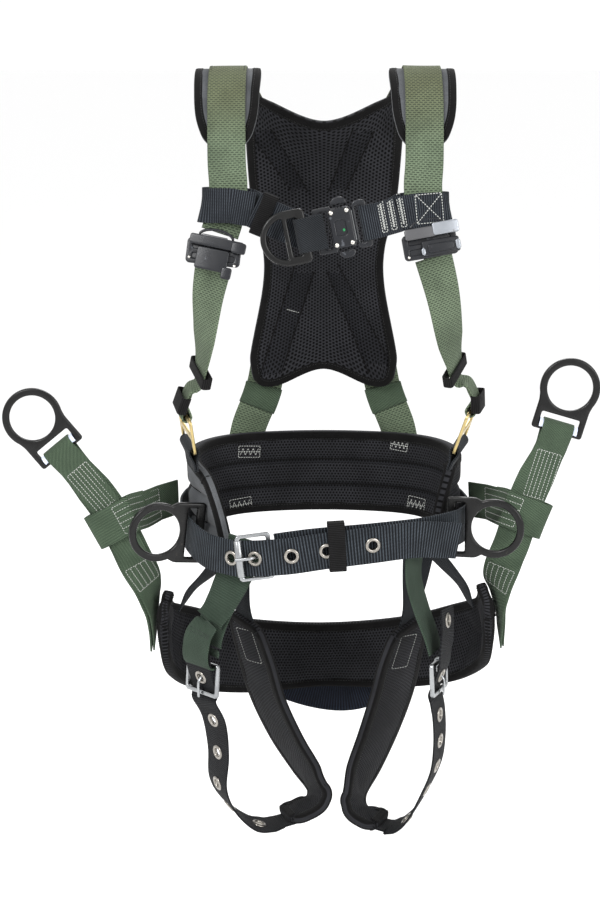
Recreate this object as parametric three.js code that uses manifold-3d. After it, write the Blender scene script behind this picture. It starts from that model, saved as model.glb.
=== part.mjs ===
// Full-body tree climbing saddle: a padded torso harness joined to a waist belt, a seat sling on two
// risers and two leg loops. Millimetres, +Z up, +X towards the wearer's left, -Y towards the front.
// The origin is the centre of the wearer's waist, at the height of the belt.
import * as THREE from 'three';
import { mergeVertices } from 'three/addons/utils/BufferGeometryUtils.js';
import Module from 'manifold-3d';

const wasm = await Module();
wasm.setup();

// Driving dimensions
const WEB = 45; // width of the main webbing
const WEB_T = 2.2; // its thickness
const BELT_T = 3; // the waist belt is stiffer
const LAYER = 1.5; // half the distance between two sewn layers
const PAD_T = 10; // torso pad
const WAIST_PAD_T = 13;
const SEAT_PAD_T = 12;
const LEG_PAD_T = 10;
const RING_T = 7; // thickness of a forged ring
const EYE_R = 28; // inner radius of a ring's eye
const RIM_R = 37; // outer radius of a ring's eye
const EYE_Y = 53; // from a ring's bar to the centre of its eye
const BAR_LOOP_R = 8.4; // mid radius of webbing turned round a ring's bar
const SLEEVE_T = 1.2; // plastic sleeve in the loop of a riser
const HOLE_R = 5.5; // hole inside a grommet
const ROLLER_R = 4;

const COLOURS = {
  green: { color: 0x5f7a5c, roughness: 0.85, metalness: 0 },
  black: { color: 0x22262b, roughness: 0.8, metalness: 0 },
  mesh: { color: 0x15161a, roughness: 0.95, metalness: 0 },
  forged: { color: 0x1a1816, roughness: 0.4, metalness: 0.8 },
  steel: { color: 0xb9bcc0, roughness: 0.25, metalness: 1 },
  gold: { color: 0xc2a25a, roughness: 0.35, metalness: 1 },
  dark: { color: 0x2b2e33, roughness: 0.35, metalness: 0.8 },
  sleeve: { color: 0xd7dcec, roughness: 0.5, metalness: 0 },
  elastic: { color: 0x2a2627, roughness: 0.9, metalness: 0 },
};

const group = new THREE.Group();

function add(name, geometry, finish) {
  const mesh = new THREE.Mesh(geometry, new THREE.MeshStandardMaterial(COLOURS[finish]));
  mesh.name = name;
  group.add(mesh);
  return mesh;
}

// ---------------------------------------------------------------- strips of webbing

// A station of a strap is [x, y, z, ax, ay, az, width]: a point on its centre line, the direction
// across it, and its width there where that isn't the strap's own.

function mirrored(stations) {
  return stations.map(([x, y, z, ax, ay, az, w]) => [-x, y, z, -ax, ay, az, w]);
}

// Fills in a smooth run of stations, with the given number of steps between each two.
function smooth(stations, steps) {
  const points = stations.map((s) => new THREE.Vector3(s[0], s[1], s[2]));
  const across = stations.map((s) => new THREE.Vector3(s[3], s[4], s[5]));
  const line = new THREE.CatmullRomCurve3(points, false, 'catmullrom', 0.5);
  const turn = new THREE.CatmullRomCurve3(across, false, 'catmullrom', 0.5);
  const count = steps * (stations.length - 1);
  const out = [];
  for (let i = 0; i <= count; i++) {
    const at = (i / count) * (stations.length - 1);
    const low = Math.min(Math.floor(at), stations.length - 2);
    const w = stations[low][6]
      ? THREE.MathUtils.lerp(stations[low][6], stations[low + 1][6], at - low)
      : undefined;
    const p = line.getPoint(i / count);
    const a = turn.getPoint(i / count).normalize();
    out.push([p.x, p.y, p.z, a.x, a.y, a.z, w]);
  }
  return out;
}

// The direction along a strap, across it and out of its face at each station.
function frames(stations) {
  return stations.map((s, i) => {
    const before = stations[Math.max(i - 1, 0)];
    const after = stations[Math.min(i + 1, stations.length - 1)];
    const along = new THREE.Vector3(...after.slice(0, 3)).sub(new THREE.Vector3(...before.slice(0, 3)));
    along.normalize();
    const across = new THREE.Vector3(s[3], s[4], s[5]);
    across.addScaledVector(along, -across.dot(along)).normalize();
    const out = new THREE.Vector3().crossVectors(along, across);
    return { point: new THREE.Vector3(s[0], s[1], s[2]), along, across, out };
  });
}

// The same stations moved out of the strap's face.
function offset(stations, distance) {
  return frames(stations).map((f, i) => {
    const p = f.point.addScaledVector(f.out, distance);
    return [p.x, p.y, p.z, ...stations[i].slice(3)];
  });
}

// A closed body from its corners and triangles, with every face turned to point out.
function solid(points, faces) {
  let volume = 0;
  for (const [a, b, c] of faces) {
    volume += points[a].dot(new THREE.Vector3().crossVectors(points[b], points[c]));
  }
  const geometry = new THREE.BufferGeometry();
  const corners = points.flatMap((p) => p.toArray());
  geometry.setAttribute('position', new THREE.Float32BufferAttribute(corners, 3));
  geometry.setIndex(faces.flatMap(([a, b, c]) => (volume > 0 ? [a, b, c] : [a, c, b])));
  return geometry;
}

// A strap with a rectangular section along its stations.
function strip(stations, width, thickness) {
  const points = [];
  const faces = [];
  frames(stations).forEach((f, i) => {
    const half = (stations[i][6] ?? width) / 2;
    for (const [u, v] of [[-1, -1], [1, -1], [1, 1], [-1, 1]]) {
      const side = f.point.clone().addScaledVector(f.across, u * half);
      points.push(side.addScaledVector(f.out, (v * thickness) / 2));
    }
  });
  for (let i = 0; i + 1 < stations.length; i++) {
    for (let k = 0; k < 4; k++) {
      const a = i * 4 + k;
      const b = i * 4 + ((k + 1) % 4);
      if (k === 2) faces.push([a, b, a + 4], [b, b + 4, a + 4]);
      else faces.push([a, b, b + 4], [a, b + 4, a + 4]);
    }
  }
  const last = (stations.length - 1) * 4;
  faces.push([0, 2, 1], [0, 3, 2], [last, last + 1, last + 2], [last, last + 2, last + 3]);
  return solid(points, faces);
}

// A strap that runs up to a bar, turns round it and lies back on itself.
function aroundBar(stations, bar, radius) {
  const end = stations[stations.length - 1];
  const centre = new THREE.Vector3(...bar);
  const along = centre.clone().sub(new THREE.Vector3(...end.slice(0, 3))).normalize();
  const across = new THREE.Vector3(...end.slice(3, 6));
  across.addScaledVector(along, -across.dot(along)).normalize();
  const out = new THREE.Vector3().crossVectors(along, across);
  const turn = [];
  for (let degrees = 115; degrees >= -115; degrees -= 23) {
    const a = THREE.MathUtils.degToRad(degrees);
    const p = centre.clone().addScaledVector(along, radius * Math.cos(a));
    p.addScaledVector(out, radius * Math.sin(a));
    turn.push([p.x, p.y, p.z, across.x, across.y, across.z]);
  }
  return [...offset(stations, LAYER), ...turn, ...offset(stations, -LAYER).reverse()];
}

// ---------------------------------------------------------------- pads

// A padded sheet through a grid of points, given as rows of [x, y, z], with square edges.
function pad(rows, thickness, acrossSteps, alongSteps) {
  const curve = (corners) => new THREE.CatmullRomCurve3(corners, false, 'catmullrom', 0.5);
  const rowCurves = rows.map((row) => curve(row.map((p) => new THREE.Vector3(...p))));
  const grid = [];
  for (let u = 0; u <= acrossSteps; u++) {
    const line = curve(rowCurves.map((row) => row.getPoint(u / acrossSteps)));
    grid.push(Array.from({ length: alongSteps + 1 }, (_, v) => line.getPoint(v / alongSteps)));
  }
  const points = [];
  for (const side of [-1, 1]) {
    for (let u = 0; u <= acrossSteps; u++) {
      for (let v = 0; v <= alongSteps; v++) {
        const du = grid[Math.min(u + 1, acrossSteps)][v].clone().sub(grid[Math.max(u - 1, 0)][v]);
        const dv = grid[u][Math.min(v + 1, alongSteps)].clone().sub(grid[u][Math.max(v - 1, 0)]);
        points.push(grid[u][v].clone().addScaledVector(du.cross(dv).normalize(), (side * thickness) / 2));
      }
    }
  }
  const columns = alongSteps + 1;
  const top = (acrossSteps + 1) * columns;
  const faces = [];
  for (let u = 0; u < acrossSteps; u++) {
    for (let v = 0; v < alongSteps; v++) {
      const a = u * columns + v;
      faces.push([a, a + 1, a + 1 + columns], [a, a + 1 + columns, a + columns]);
      const b = top + a;
      faces.push([b, b + 1 + columns, b + 1], [b, b + columns, b + 1 + columns]);
    }
  }
  const edge = [];
  for (let u = 0; u < acrossSteps; u++) edge.push(u * columns);
  for (let v = 0; v < alongSteps; v++) edge.push(acrossSteps * columns + v);
  for (let u = acrossSteps; u > 0; u--) edge.push(u * columns + alongSteps);
  for (let v = alongSteps; v > 0; v--) edge.push(v);
  edge.forEach((a, i) => {
    const b = edge[(i + 1) % edge.length];
    faces.push([a, b, b + top], [a, b + top, a + top]);
  });
  return solid(points, faces);
}

// ---------------------------------------------------------------- joins and cuts

function toManifold(geometry) {
  const bare = geometry.index ? geometry.clone() : geometry;
  bare.deleteAttribute('normal');
  bare.deleteAttribute('uv');
  const merged = mergeVertices(bare, 1e-3);
  return new wasm.Manifold(new wasm.Mesh({
    numProp: 3,
    vertProperties: new Float32Array(merged.attributes.position.array),
    triVerts: new Uint32Array(merged.index.array),
  }));
}

function fromManifold(manifold) {
  const mesh = manifold.getMesh();
  const geometry = new THREE.BufferGeometry();
  geometry.setAttribute('position', new THREE.BufferAttribute(new Float32Array(mesh.vertProperties), 3));
  geometry.setIndex(new THREE.BufferAttribute(new Uint32Array(mesh.triVerts), 1));
  return geometry;
}

function join(...geometries) {
  return fromManifold(geometries.map(toManifold).reduce((sum, next) => sum.add(next)));
}

function cut(geometry, ...tools) {
  const whole = toManifold(geometry);
  return fromManifold(tools.map(toManifold).reduce((rest, tool) => rest.subtract(tool), whole));
}

// Moves a geometry drawn in its own X and Y into place.
function placed(geometry, origin, xAxis, yAxis) {
  const x = new THREE.Vector3(...xAxis).normalize();
  const y = new THREE.Vector3(...yAxis);
  y.addScaledVector(x, -y.dot(x)).normalize();
  const z = new THREE.Vector3().crossVectors(x, y);
  const matrix = new THREE.Matrix4().makeBasis(x, y, z).setPosition(...origin);
  return geometry.applyMatrix4(matrix);
}

// Punches the grommet holes of a strap, at fractions of the way along its stations.
function punch(geometry, stations, fractions) {
  const line = frames(stations);
  const tools = fractions.map((fraction) => {
    const f = line[Math.round(fraction * (line.length - 1))];
    const drill = new THREE.CylinderGeometry(HOLE_R, HOLE_R, 12, 10);
    return placed(drill, f.point.toArray(), f.across.toArray(), f.out.toArray());
  });
  return cut(geometry, ...tools);
}

// ---------------------------------------------------------------- metal plates

function plate(shape, thickness, bevel, segments = 10) {
  const geometry = new THREE.ExtrudeGeometry(shape, {
    depth: thickness - 2 * bevel,
    bevelEnabled: bevel > 0,
    bevelSize: bevel,
    bevelThickness: bevel,
    bevelOffset: -bevel,
    bevelSegments: 1,
    curveSegments: segments,
  });
  return geometry.translate(0, 0, bevel - thickness / 2);
}

// A rectangle with its corners rounded, or chamfered where they are small.
function roundedPath(path, x0, y0, x1, y1, r) {
  const corners = [
    [x1 - r, y0 + r, -Math.PI / 2],
    [x1 - r, y1 - r, 0],
    [x0 + r, y1 - r, Math.PI / 2],
    [x0 + r, y0 + r, Math.PI],
  ];
  path.moveTo(x0 + r, y0);
  for (const [x, y, from] of corners) {
    if (r > 3) {
      path.absarc(x, y, r, from, from + Math.PI / 2);
    } else {
      path.lineTo(x + r * Math.cos(from), y + r * Math.sin(from));
      path.lineTo(x - r * Math.sin(from), y + r * Math.cos(from));
    }
  }
  path.closePath();
  return path;
}

function roundedHole(x0, y0, x1, y1, r) {
  return roundedPath(new THREE.Path(), x0, y0, x1, y1, r);
}

function roundedShape(x0, y0, x1, y1, r, holes = []) {
  const shape = roundedPath(new THREE.Shape(), x0, y0, x1, y1, r);
  shape.holes.push(...holes);
  return shape;
}

// A forged ring: a round eye, two shoulders and a webbing slot over a straight bar. Its bar is
// centred on the origin along X and its eye stands in +Y.
function ringShape(barHalf, slotHalf) {
  const low = -5.5;
  const shoulder = THREE.MathUtils.degToRad(-28);
  const shape = new THREE.Shape();
  shape.moveTo(-barHalf + 3, low);
  shape.lineTo(barHalf - 3, low);
  shape.lineTo(barHalf, low + 3);
  shape.lineTo(barHalf, 9);
  shape.absarc(0, EYE_Y, RIM_R, shoulder, Math.PI - shoulder);
  shape.lineTo(-barHalf, 9);
  shape.lineTo(-barHalf, low + 3);
  shape.closePath();
  const eye = new THREE.Path();
  eye.absarc(0, EYE_Y, EYE_R, 0, 2 * Math.PI);
  shape.holes.push(eye, roundedHole(-slotHalf, 5.5, slotHalf, 17, 1.2));
  return shape;
}

function ring(origin, xAxis, yAxis, barHalf = 32, slotHalf = 24.3) {
  return placed(plate(ringShape(barHalf, slotHalf), RING_T, 0.9, 8), origin, xAxis, yAxis);
}

// A prong with an eye round its pivot: drawn in X and Y through its bends, as wide as given.
function prong(bends, eyeRadius, pinRadius, width, thickness) {
  const outer = new THREE.Shape();
  outer.absarc(0, 0, eyeRadius, 0, 2 * Math.PI);
  const arm = new THREE.Shape();
  const top = bends.map(([x, y]) => new THREE.Vector2(x, y + thickness / 2));
  const under = bends.map(([x, y]) => new THREE.Vector2(x, y - thickness / 2)).reverse();
  arm.setFromPoints([...top, ...under]);
  const whole = join(plate(outer, width, 0, 8), plate(arm, width, 0));
  const pin = new THREE.CylinderGeometry(pinRadius, pinRadius, width * 2, 12).rotateX(Math.PI / 2);
  return cut(whole, pin);
}

// ---------------------------------------------------------------- torso pad and straps

// Middle of the pad over one shoulder, from the upper back to the chest.
const SHOULDER = [
  [-58, 96, 425, 0.9, 0.1, 0.35, 66],
  [-80, 84, 462, 0.92, 0.12, 0.3, 72],
  [-100, 62, 500, 0.96, 0.1, 0.2, 76],
  [-113, 32, 528, 1, 0.03, 0.08, 79],
  [-116, -2, 538, 1, 0, 0, 79],
  [-117, -34, 520, 1, 0, 0, 78],
  [-117, -58, 488, 1, 0, 0, 72],
  [-115, -71, 452, 1, 0, 0, 48],
];
// Back of the pad, from the arch over the waist up to the neckline.
const BACK_ROWS = [
  [[-97, 104, 160], [-72, 111, 135], [0, 116, 156], [72, 111, 135], [97, 104, 160]],
  [[-91, 106, 190], [-46, 113, 182], [0, 116, 188], [46, 113, 182], [91, 106, 190]],
  [[-77, 108, 264], [-38, 114, 264], [0, 116, 264], [38, 114, 264], [77, 108, 264]],
  [[-77, 108, 312], [-38, 114, 312], [0, 116, 312], [38, 114, 312], [77, 108, 312]],
  [[-90, 104, 365], [-46, 112, 365], [0, 115, 365], [46, 112, 365], [90, 104, 365]],
  [[-96, 92, 430], [-50, 103, 430], [0, 106, 424], [50, 103, 430], [96, 92, 430]],
  [[-66, 70, 502], [-42, 83, 484], [0, 88, 474], [42, 83, 484], [66, 70, 502]],
];

function backPad() {
  const body = pad(BACK_ROWS, PAD_T, 8, 12);
  const left = strip(smooth(SHOULDER, 3), 0, PAD_T);
  const right = strip(smooth(mirrored(SHOULDER), 3), 0, PAD_T);
  return join(body, left, right);
}

// One shoulder strap: up the back from the far side of the waist, crossing at the back plate, over
// the pad and down to the chest adjuster. The two cross at slightly different depths.
function torsoStrap(depth) {
  const clear = PAD_T / 2 + WEB_T / 2 + 1.4;
  const middle = smooth(SHOULDER, 3);
  const onPad = [];
  for (let i = 4; i < 19; i++) {
    const lifted = offset(middle, clear + Math.max(0, 10 - i) * 0.8)[i];
    onPad.push(lifted.slice(0, 6));
  }
  const back = [
    [-100, 120, 62, 0.94, -0.2, -0.33],
    [-94, 120, 86, 0.94, -0.1, -0.33],
    [-77, 124, 130, 0.97, 0, -0.23],
    [-66, 124, 185, 0.97, 0, -0.23],
    [-42, 125 + depth, 280, 0.93, 0, -0.38],
    [-14, 126 + depth, 345, 0.9, 0, -0.43],
    [14, 126 + depth, 398, 0.85, 0, -0.53],
    [50, 116 + depth, 444, 0.82, 0.1, -0.55],
  ].map(([x, y, z, ax, ay, az]) => [-x, y, z, ax, ay, -az]);
  const front = [
    [-116, -90, 440, 1, 0, 0],
    [-114, -102, 410, 1, 0.05, 0],
    [-118, -109, 378, 0.98, 0.1, -0.1],
    [-124, -112, 358, 0.98, 0.1, -0.12],
  ];
  const rise = smooth([...back, onPad[0], onPad[3]], 3).slice(0, -3);
  const fall = smooth([onPad[11], onPad[14], ...front], 3).slice(4);
  return [...rise, ...onPad.slice(1), ...fall];
}

add('back_pad', backPad(), 'mesh');
const leftTorso = torsoStrap(0);
const rightTorso = mirrored(torsoStrap(3.4));
add('torso_strap_left', strip(leftTorso, WEB, WEB_T), 'green');
add('torso_strap_right', strip(rightTorso, WEB, WEB_T), 'green');

// ---------------------------------------------------------------- plate and ring at the back

function dorsalPlate() {
  const windows = [roundedHole(-46, -38, -8, 38, 8), roundedHole(8, -38, 46, 38, 8)];
  const base = plate(roundedShape(-56, -48, 56, 48, 14, windows), 4, 0, 4);
  const eye = roundedHole(-4.6, -4.6, 4.6, 4.6, 4.5);
  const lug = plate(roundedShape(-7, -7, 7, 7, 6.5, [eye]), 8, 0, 4);
  const lugs = [-40, 40].map((x) => placed(lug.clone(), [x, 44, 8.5], [0, 0, 1], [0, 1, 0]));
  return placed(join(base, ...lugs), [0, 135, 390], [-1, 0, 0], [0, 0, 1]);
}

const DORSAL_PIN = [0, 143.5, 434];

function dorsalRing() {
  const barCut = new THREE.BoxGeometry(90, 12.2, 20).translate(0, -1, 0);
  const flat = cut(plate(ringShape(31.5, 23.5), RING_T, 0.9), barCut);
  const pin = new THREE.CylinderGeometry(3.6, 3.6, 92, 12).rotateZ(Math.PI / 2);
  const arms = [-1, 1].map((side) => {
    const arm = new THREE.BoxGeometry(8, 12, RING_T - 0.6);
    return arm.translate(side * 27.5, 5.4, 0);
  });
  return placed(join(flat, pin, ...arms), DORSAL_PIN, [1, 0, 0], [0, 0, -1]);
}

add('dorsal_plate', dorsalPlate(), 'dark');
add('dorsal_d_ring', dorsalRing(), 'forged');

// ---------------------------------------------------------------- adjusters, front straps, hip buckles

function adjuster(origin, xAxis) {
  const slots = [roundedHole(-25, 3, 25, 9.5, 2), roundedHole(-25, -9.5, 25, -3, 2)];
  const body = plate(roundedShape(-32, -15, 32, 15, 5, slots), 4.5, 0.8, 3);
  return placed(body, origin, xAxis, [0.05, 0.25, 0.97]);
}

// A two-slot hip buckle between its upper and lower bars, turned edge-on to the front.
function hipBuckle({ upper, lower, across }) {
  const middle = upper.map((v, i) => (v + lower[i]) / 2);
  const up = upper.map((v, i) => v - lower[i]);
  const bar = 3;
  const centre = Math.hypot(...up) / 2;
  const slots = [roundedHole(-24, 3.5, 24, centre - bar, 2), roundedHole(-24, bar - centre, 24, -3.5, 2)];
  const shape = roundedShape(-29, -centre - bar, 29, centre + bar, 6, slots);
  return placed(plate(shape, 3.6, 0.6, 3), middle, across, up);
}

// A station in line with a hip buckle, some way above its upper bar or below its lower one.
function inLine({ upper, lower, across }, distance) {
  const up = new THREE.Vector3(...upper).sub(new THREE.Vector3(...lower)).normalize();
  const from = new THREE.Vector3(...(distance > 0 ? upper : lower));
  return [...from.addScaledVector(up, distance).toArray(), ...across];
}

// The last stations of a front strap, turning from its own line into that of its hip buckle. Each is
// at a distance from the buckle's upper bar, with a share of the strap's own line.
function turnIn(hip, last) {
  return TURN_IN.map(([distance, share]) => {
    const bar = new THREE.Vector3(...hip.upper);
    const strapWay = new THREE.Vector3(...last.slice(0, 3)).sub(bar).normalize();
    const way = new THREE.Vector3(...inLine(hip, 1).slice(0, 3)).sub(bar);
    way.lerp(strapWay, share).normalize();
    return [...bar.addScaledVector(way, distance).toArray(), ...hip.across];
  });
}

const TURN_IN = [[36, 0.65], [17, 0.12]];
const FRONT_STEPS = 6;
const KEEPER_STATION = 21;
const LEFT_HIP = { upper: [-170, -56, 131], lower: [-165, -45, 90], across: [0.3, -0.93, -0.21] };
const RIGHT_HIP = { upper: [179, -58, 138], lower: [164, -45, 90], across: [0.3, 0.95, 0.16] };
const HIP_LOOP_R = 6;

const LEFT_FRONT = [
  [-131, -112, 322, 0.93, -0.3, 0],
  [-138, -106, 283, 0.8, -0.58, 0],
  [-142, -96, 243, 0.6, -0.78, -0.03],
  [-146, -83, 204, 0.42, -0.9, -0.1],
  [-153, -70, 172, 0.33, -0.93, -0.18],
];
const RIGHT_FRONT = [
  [126, -112, 331, 0.97, 0.2, 0],
  [138, -106, 285, 0.88, 0.47, 0],
  [146, -97, 240, 0.72, 0.68, 0],
  [153, -84, 205, 0.5, 0.86, 0.05],
  [159, -71, 178, 0.36, 0.92, 0.1],
];

// A flat elastic sleeve on a strap: a rounded tube open at both ends, lying in the strap's frame.
function sleeve(station, width, depth, length, wall) {
  const hole = roundedHole(-width / 2, -depth / 2, width / 2, depth / 2, 1.5);
  const x = width / 2 + wall;
  const y = depth / 2 + wall;
  const tape = plate(roundedShape(-x, -y, x, y, 2.5, [hole]), length, 0, 2);
  return placed(tape, station.point.toArray(), station.across.toArray(), station.out.toArray());
}

add('torso_adjuster_left', adjuster([-131, -121.5, 337], [0.97, -0.08, -0.1]), 'dark');
add('torso_adjuster_right', adjuster([122, -121.5, 346], [0.97, 0.08, 0.16]), 'dark');
for (const [side, front, hip] of [['left', LEFT_FRONT, LEFT_HIP], ['right', RIGHT_FRONT, RIGHT_HIP]]) {
  const path = smooth([...front, ...turnIn(hip, front[front.length - 1])], FRONT_STEPS);
  const keeperAt = frames(path)[KEEPER_STATION];
  add(`front_strap_${side}`, strip(aroundBar(path, hip.upper, HIP_LOOP_R), WEB, WEB_T), 'green');
  add(`front_keeper_${side}`, sleeve(keeperAt, 51, 10, 14, 1.4), 'elastic');
  add(`hip_buckle_${side}`, hipBuckle(hip), 'gold');
  const foot = [inLine(hip, -27), inLine(hip, -16)];
  add(`hip_loop_${side}`, strip(aroundBar(foot, hip.lower, HIP_LOOP_R), WEB - 1, WEB_T), 'black');
}

// ---------------------------------------------------------------- chest strap and buckle

const CHEST_X = [0.98, -0.02, 0.2]; // the chest buckle's long axis
const CHEST_UP = [-0.2, 0.1, 0.975];
const CHEST_WEB = 41;
const CHEST_BAR_R = 5.9; // mid radius of the chest webbing round its bars
const BUCKLE_C = [13, -130, 366];

function chestPoint(x, y, z = 0) {
  const right = new THREE.Vector3(...CHEST_X).normalize();
  const up = new THREE.Vector3(...CHEST_UP);
  up.addScaledVector(right, -up.dot(right)).normalize();
  const out = new THREE.Vector3().crossVectors(right, up);
  const p = new THREE.Vector3(...BUCKLE_C).addScaledVector(right, x).addScaledVector(up, y);
  return p.addScaledVector(out, z).toArray();
}

// A loop of strap round one torso strap, drawn for the left side, ending beside it.
const CHEST_LEAN = [0.19, 0.21, 0.96];
const CHEST_LOOP = [
  [-84, -116.5, 386.5],
  [-112, -115.5, 391],
  [-137, -114, 391],
  [-144, -111, 391],
  [-145.5, -107.5, 391],
  [-144, -104, 391],
  [-137, -100.5, 391],
  [-112, -97, 391],
  [-90, -98.5, 389],
  [-80, -110.5, 385],
].map((p) => [...p, ...CHEST_LEAN]);

// Chest stations on one side of the body, raised a little.
function onSide(stations, mirror, lift) {
  return stations.map(([x, y, z, ax, ay, az]) => [mirror * x, y + lift / 4, z + lift, mirror * ax, ay, az]);
}

// The joined layers between the loop and the buckle.
function chestRun(mirror, lift, count, end, bar) {
  const run = [
    [-84, -117.8, 386, ...CHEST_LEAN],
    [-66, -120.6, 378, 0.08, 0.12, 0.98],
    [-47, -123.4, 370, -0.08, 0.1, 0.99],
  ].slice(0, count);
  return aroundBar(smooth([...onSide(run, mirror, lift), end], 3), bar, CHEST_BAR_R);
}

function chestStrap(mirror, lift, count, end, bar) {
  const loop = strip(onSide(CHEST_LOOP, mirror, lift), CHEST_WEB, WEB_T);
  return join(loop, strip(chestRun(mirror, lift, count, end, bar), CHEST_WEB, WEB_T));
}

const leftEnd = [...chestPoint(-33, 0), ...CHEST_UP];
const rightEnd = [...chestPoint(48, 0), ...CHEST_UP];
add('chest_strap_left', chestStrap(1, 0, 3, leftEnd, chestPoint(-21.25, 0)), 'black');
add('chest_strap_right', chestStrap(-1, -5, 1, rightEnd, chestPoint(34.75, 0)), 'black');

// A part drawn flat in the buckle's own X and Y, lifted out of it by a height.
function onChest(geometry, x, y, height) {
  return placed(geometry, chestPoint(x, y, height), CHEST_X, CHEST_UP);
}

function chestBuckleBody() {
  const bars = [roundedHole(-17.5, -22, -9, 22, 2)];
  const base = plate(roundedShape(-25, -27, 20, 27, 5, bars), 4.4, 0.6, 3);
  const mouth = new THREE.BoxGeometry(22, 37, 2.6).translate(12, 0, 0);
  const notches = [-1, 1].map((side) => new THREE.BoxGeometry(19.6, 6, 8).translate(7, side * 27, 0));
  return cut(base, mouth, ...notches);
}

function chestTab() {
  const slot = [roundedHole(24, -22, 31.5, 22, 2)];
  const loop = plate(roundedShape(20.6, -28, 38, 28, 6, slot), 4.4, 0.6, 3);
  const tongue = new THREE.BoxGeometry(20, 36, 1.8).translate(12.4, 0, 0);
  return join(loop, tongue);
}

function releaseLever() {
  const shape = new THREE.Shape();
  shape.moveTo(-9, -3.4);
  shape.lineTo(9, -3.4);
  shape.lineTo(9, 0.6);
  shape.quadraticCurveTo(5, 4.6, 0, 4.8);
  shape.quadraticCurveTo(-5, 4.6, -9, 0.6);
  shape.closePath();
  return plate(shape, 5, 0.6, 3);
}

add('chest_keeper', sleeve(frames([
  [-86, -117.9, 386, ...CHEST_LEAN],
  [-72, -119.8, 380.5, 0.14, 0.16, 0.97],
  [-58, -121.7, 375, 0.1, 0.12, 0.98],
])[1], 48, 9, 17, 1.5), 'elastic');
add('chest_buckle_body', onChest(chestBuckleBody(), 0, 0, 0), 'dark');
add('chest_buckle_cover', onChest(plate(roundedShape(-7, -23, 19, 23, 5), 4, 0.8, 3), 0, 0, 4.9), 'dark');
add('release_lever_upper', onChest(releaseLever(), 7, 31.2, 0), 'dark');
add('release_lever_lower', onChest(releaseLever().rotateZ(Math.PI), 7, -31.2, 0), 'dark');
add('chest_tab', onChest(chestTab(), 0, 0, 0), 'dark');

// The chest ring is a plain D: an arch over a cross bar, with the webbing slot below it.
function archRing(slotHalf, archY, archR, wall) {
  const shape = new THREE.Shape();
  shape.moveTo(-archR + 3, -5.5);
  shape.lineTo(archR - 3, -5.5);
  shape.lineTo(archR, -2.5);
  shape.absarc(0, archY, archR, 0, Math.PI);
  shape.lineTo(-archR, -2.5);
  shape.closePath();
  const inner = archR - wall;
  const window = new THREE.Path();
  window.moveTo(-inner, archY + 3);
  window.lineTo(inner, archY + 3);
  window.absarc(0, archY, inner, Math.asin(3 / inner), Math.PI - Math.asin(3 / inner));
  shape.holes.push(window, roundedHole(-slotHalf, 5.5, slotHalf, 16, 1.2));
  return plate(shape, RING_T, 0.9, 8);
}

const STERNAL_BAR = chestPoint(-39, 0, 12);
const sternalRing = archRing(22, 19, 32, 7.5);
add('sternal_d_ring', placed(sternalRing, STERNAL_BAR, CHEST_UP, [-0.95, -0.1, -0.2]), 'forged');
const sternalStations = [-13, -24].map((x) => [...chestPoint(x, 0, 12), ...CHEST_UP]);
add('sternal_loop', strip(aroundBar(sternalStations, STERNAL_BAR, BAR_LOOP_R), 40, WEB_T), 'black');

// ---------------------------------------------------------------- waist pad and belt

// The pad's stations round the waist: [top, middle, bottom] from its left front end to its right.
const WAIST_ROWS = [
  [[-142, -52, 55], [-126, -70, 10], [-113, -81, -46]],
  [[-158, -18, 64], [-142, -36, 10], [-132, -48, -46]],
  [[-165, 25, 68], [-164, 20, 12], [-160, 15, -44]],
  [[-150, 70, 72], [-151, 70, 19], [-149, 68, -36]],
  [[-112, 98, 75], [-113, 99, 22], [-112, 98, -30]],
  [[-40, 113, 76], [-40, 115, 24], [-40, 113, -28]],
  [[40, 113, 76], [40, 115, 24], [40, 113, -28]],
  [[112, 98, 75], [113, 99, 22], [112, 98, -30]],
  [[150, 70, 72], [151, 70, 19], [149, 68, -36]],
  [[165, 25, 68], [164, 20, 12], [158, 12, -44]],
  [[157, -16, 63], [141, -34, 10], [134, -44, -40]],
];
add('waist_pad', pad(WAIST_ROWS, WAIST_PAD_T, 2, 20), 'mesh');

// The belt: from the buckle round the wearer's left side, the back and the right side, through the
// buckle again and on over itself to its free tip.
const UP = [0, 0, 1];
const BELT = [
  [-58, -121, -24, 0.06, 0, 1],
  [-30, -124.5, -19, 0.06, 0, 1],
  [0, -126.5, -15, 0.06, 0, 1],
  [60, -121, -11, 0.03, 0, 1],
  [115, -103, -9, 0, 0, 1],
  [152, -72, -9, 0, 0, 1],
  [167, -48, -10, ...UP],
  [178, -8, -12, ...UP],
  [178, 36, -12, ...UP],
  [162, 84, -8, ...UP],
  [118, 113, -4, ...UP],
  [42, 131, -2, ...UP],
  [-42, 131, -2, ...UP],
  [-118, 113, -4, ...UP],
  [-162, 84, -8, ...UP],
  [-178, 36, -12, ...UP],
  [-176, -8, -15, ...UP],
  [-165, -52, -22, ...UP],
  [-142, -90, -31, ...UP],
  [-112, -114, -33.5, -0.06, 0, 1],
  [-99, -120, -32.7, -0.1, 0, 1],
  [-84, -126.8, -31, -0.1, 0, 1],
  [-68, -131.6, -29, -0.1, 0, 1],
  [-40, -134.4, -26, -0.08, 0, 1],
  [2, -134.8, -19.5, -0.1, 0, 1],
  [57, -129, -14, -0.03, 0, 1],
  [108, -113, -11.5, 0.03, 0, 1],
  [146, -92, -17, 0.1, 0, 1],
  [163, -80, -21, 0.12, 0, 1],
];
const BELT_STEPS = 2;
const beltPath = smooth(BELT, BELT_STEPS);
// Grommets on the overlapping end, at these stations of the belt.
const BELT_HOLES = [19, 21, 23, 24, 25].map((i) => i / (BELT.length - 1));

add('waist_belt', punch(strip(beltPath, WEB, BELT_T), beltPath, BELT_HOLES), 'black');

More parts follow.
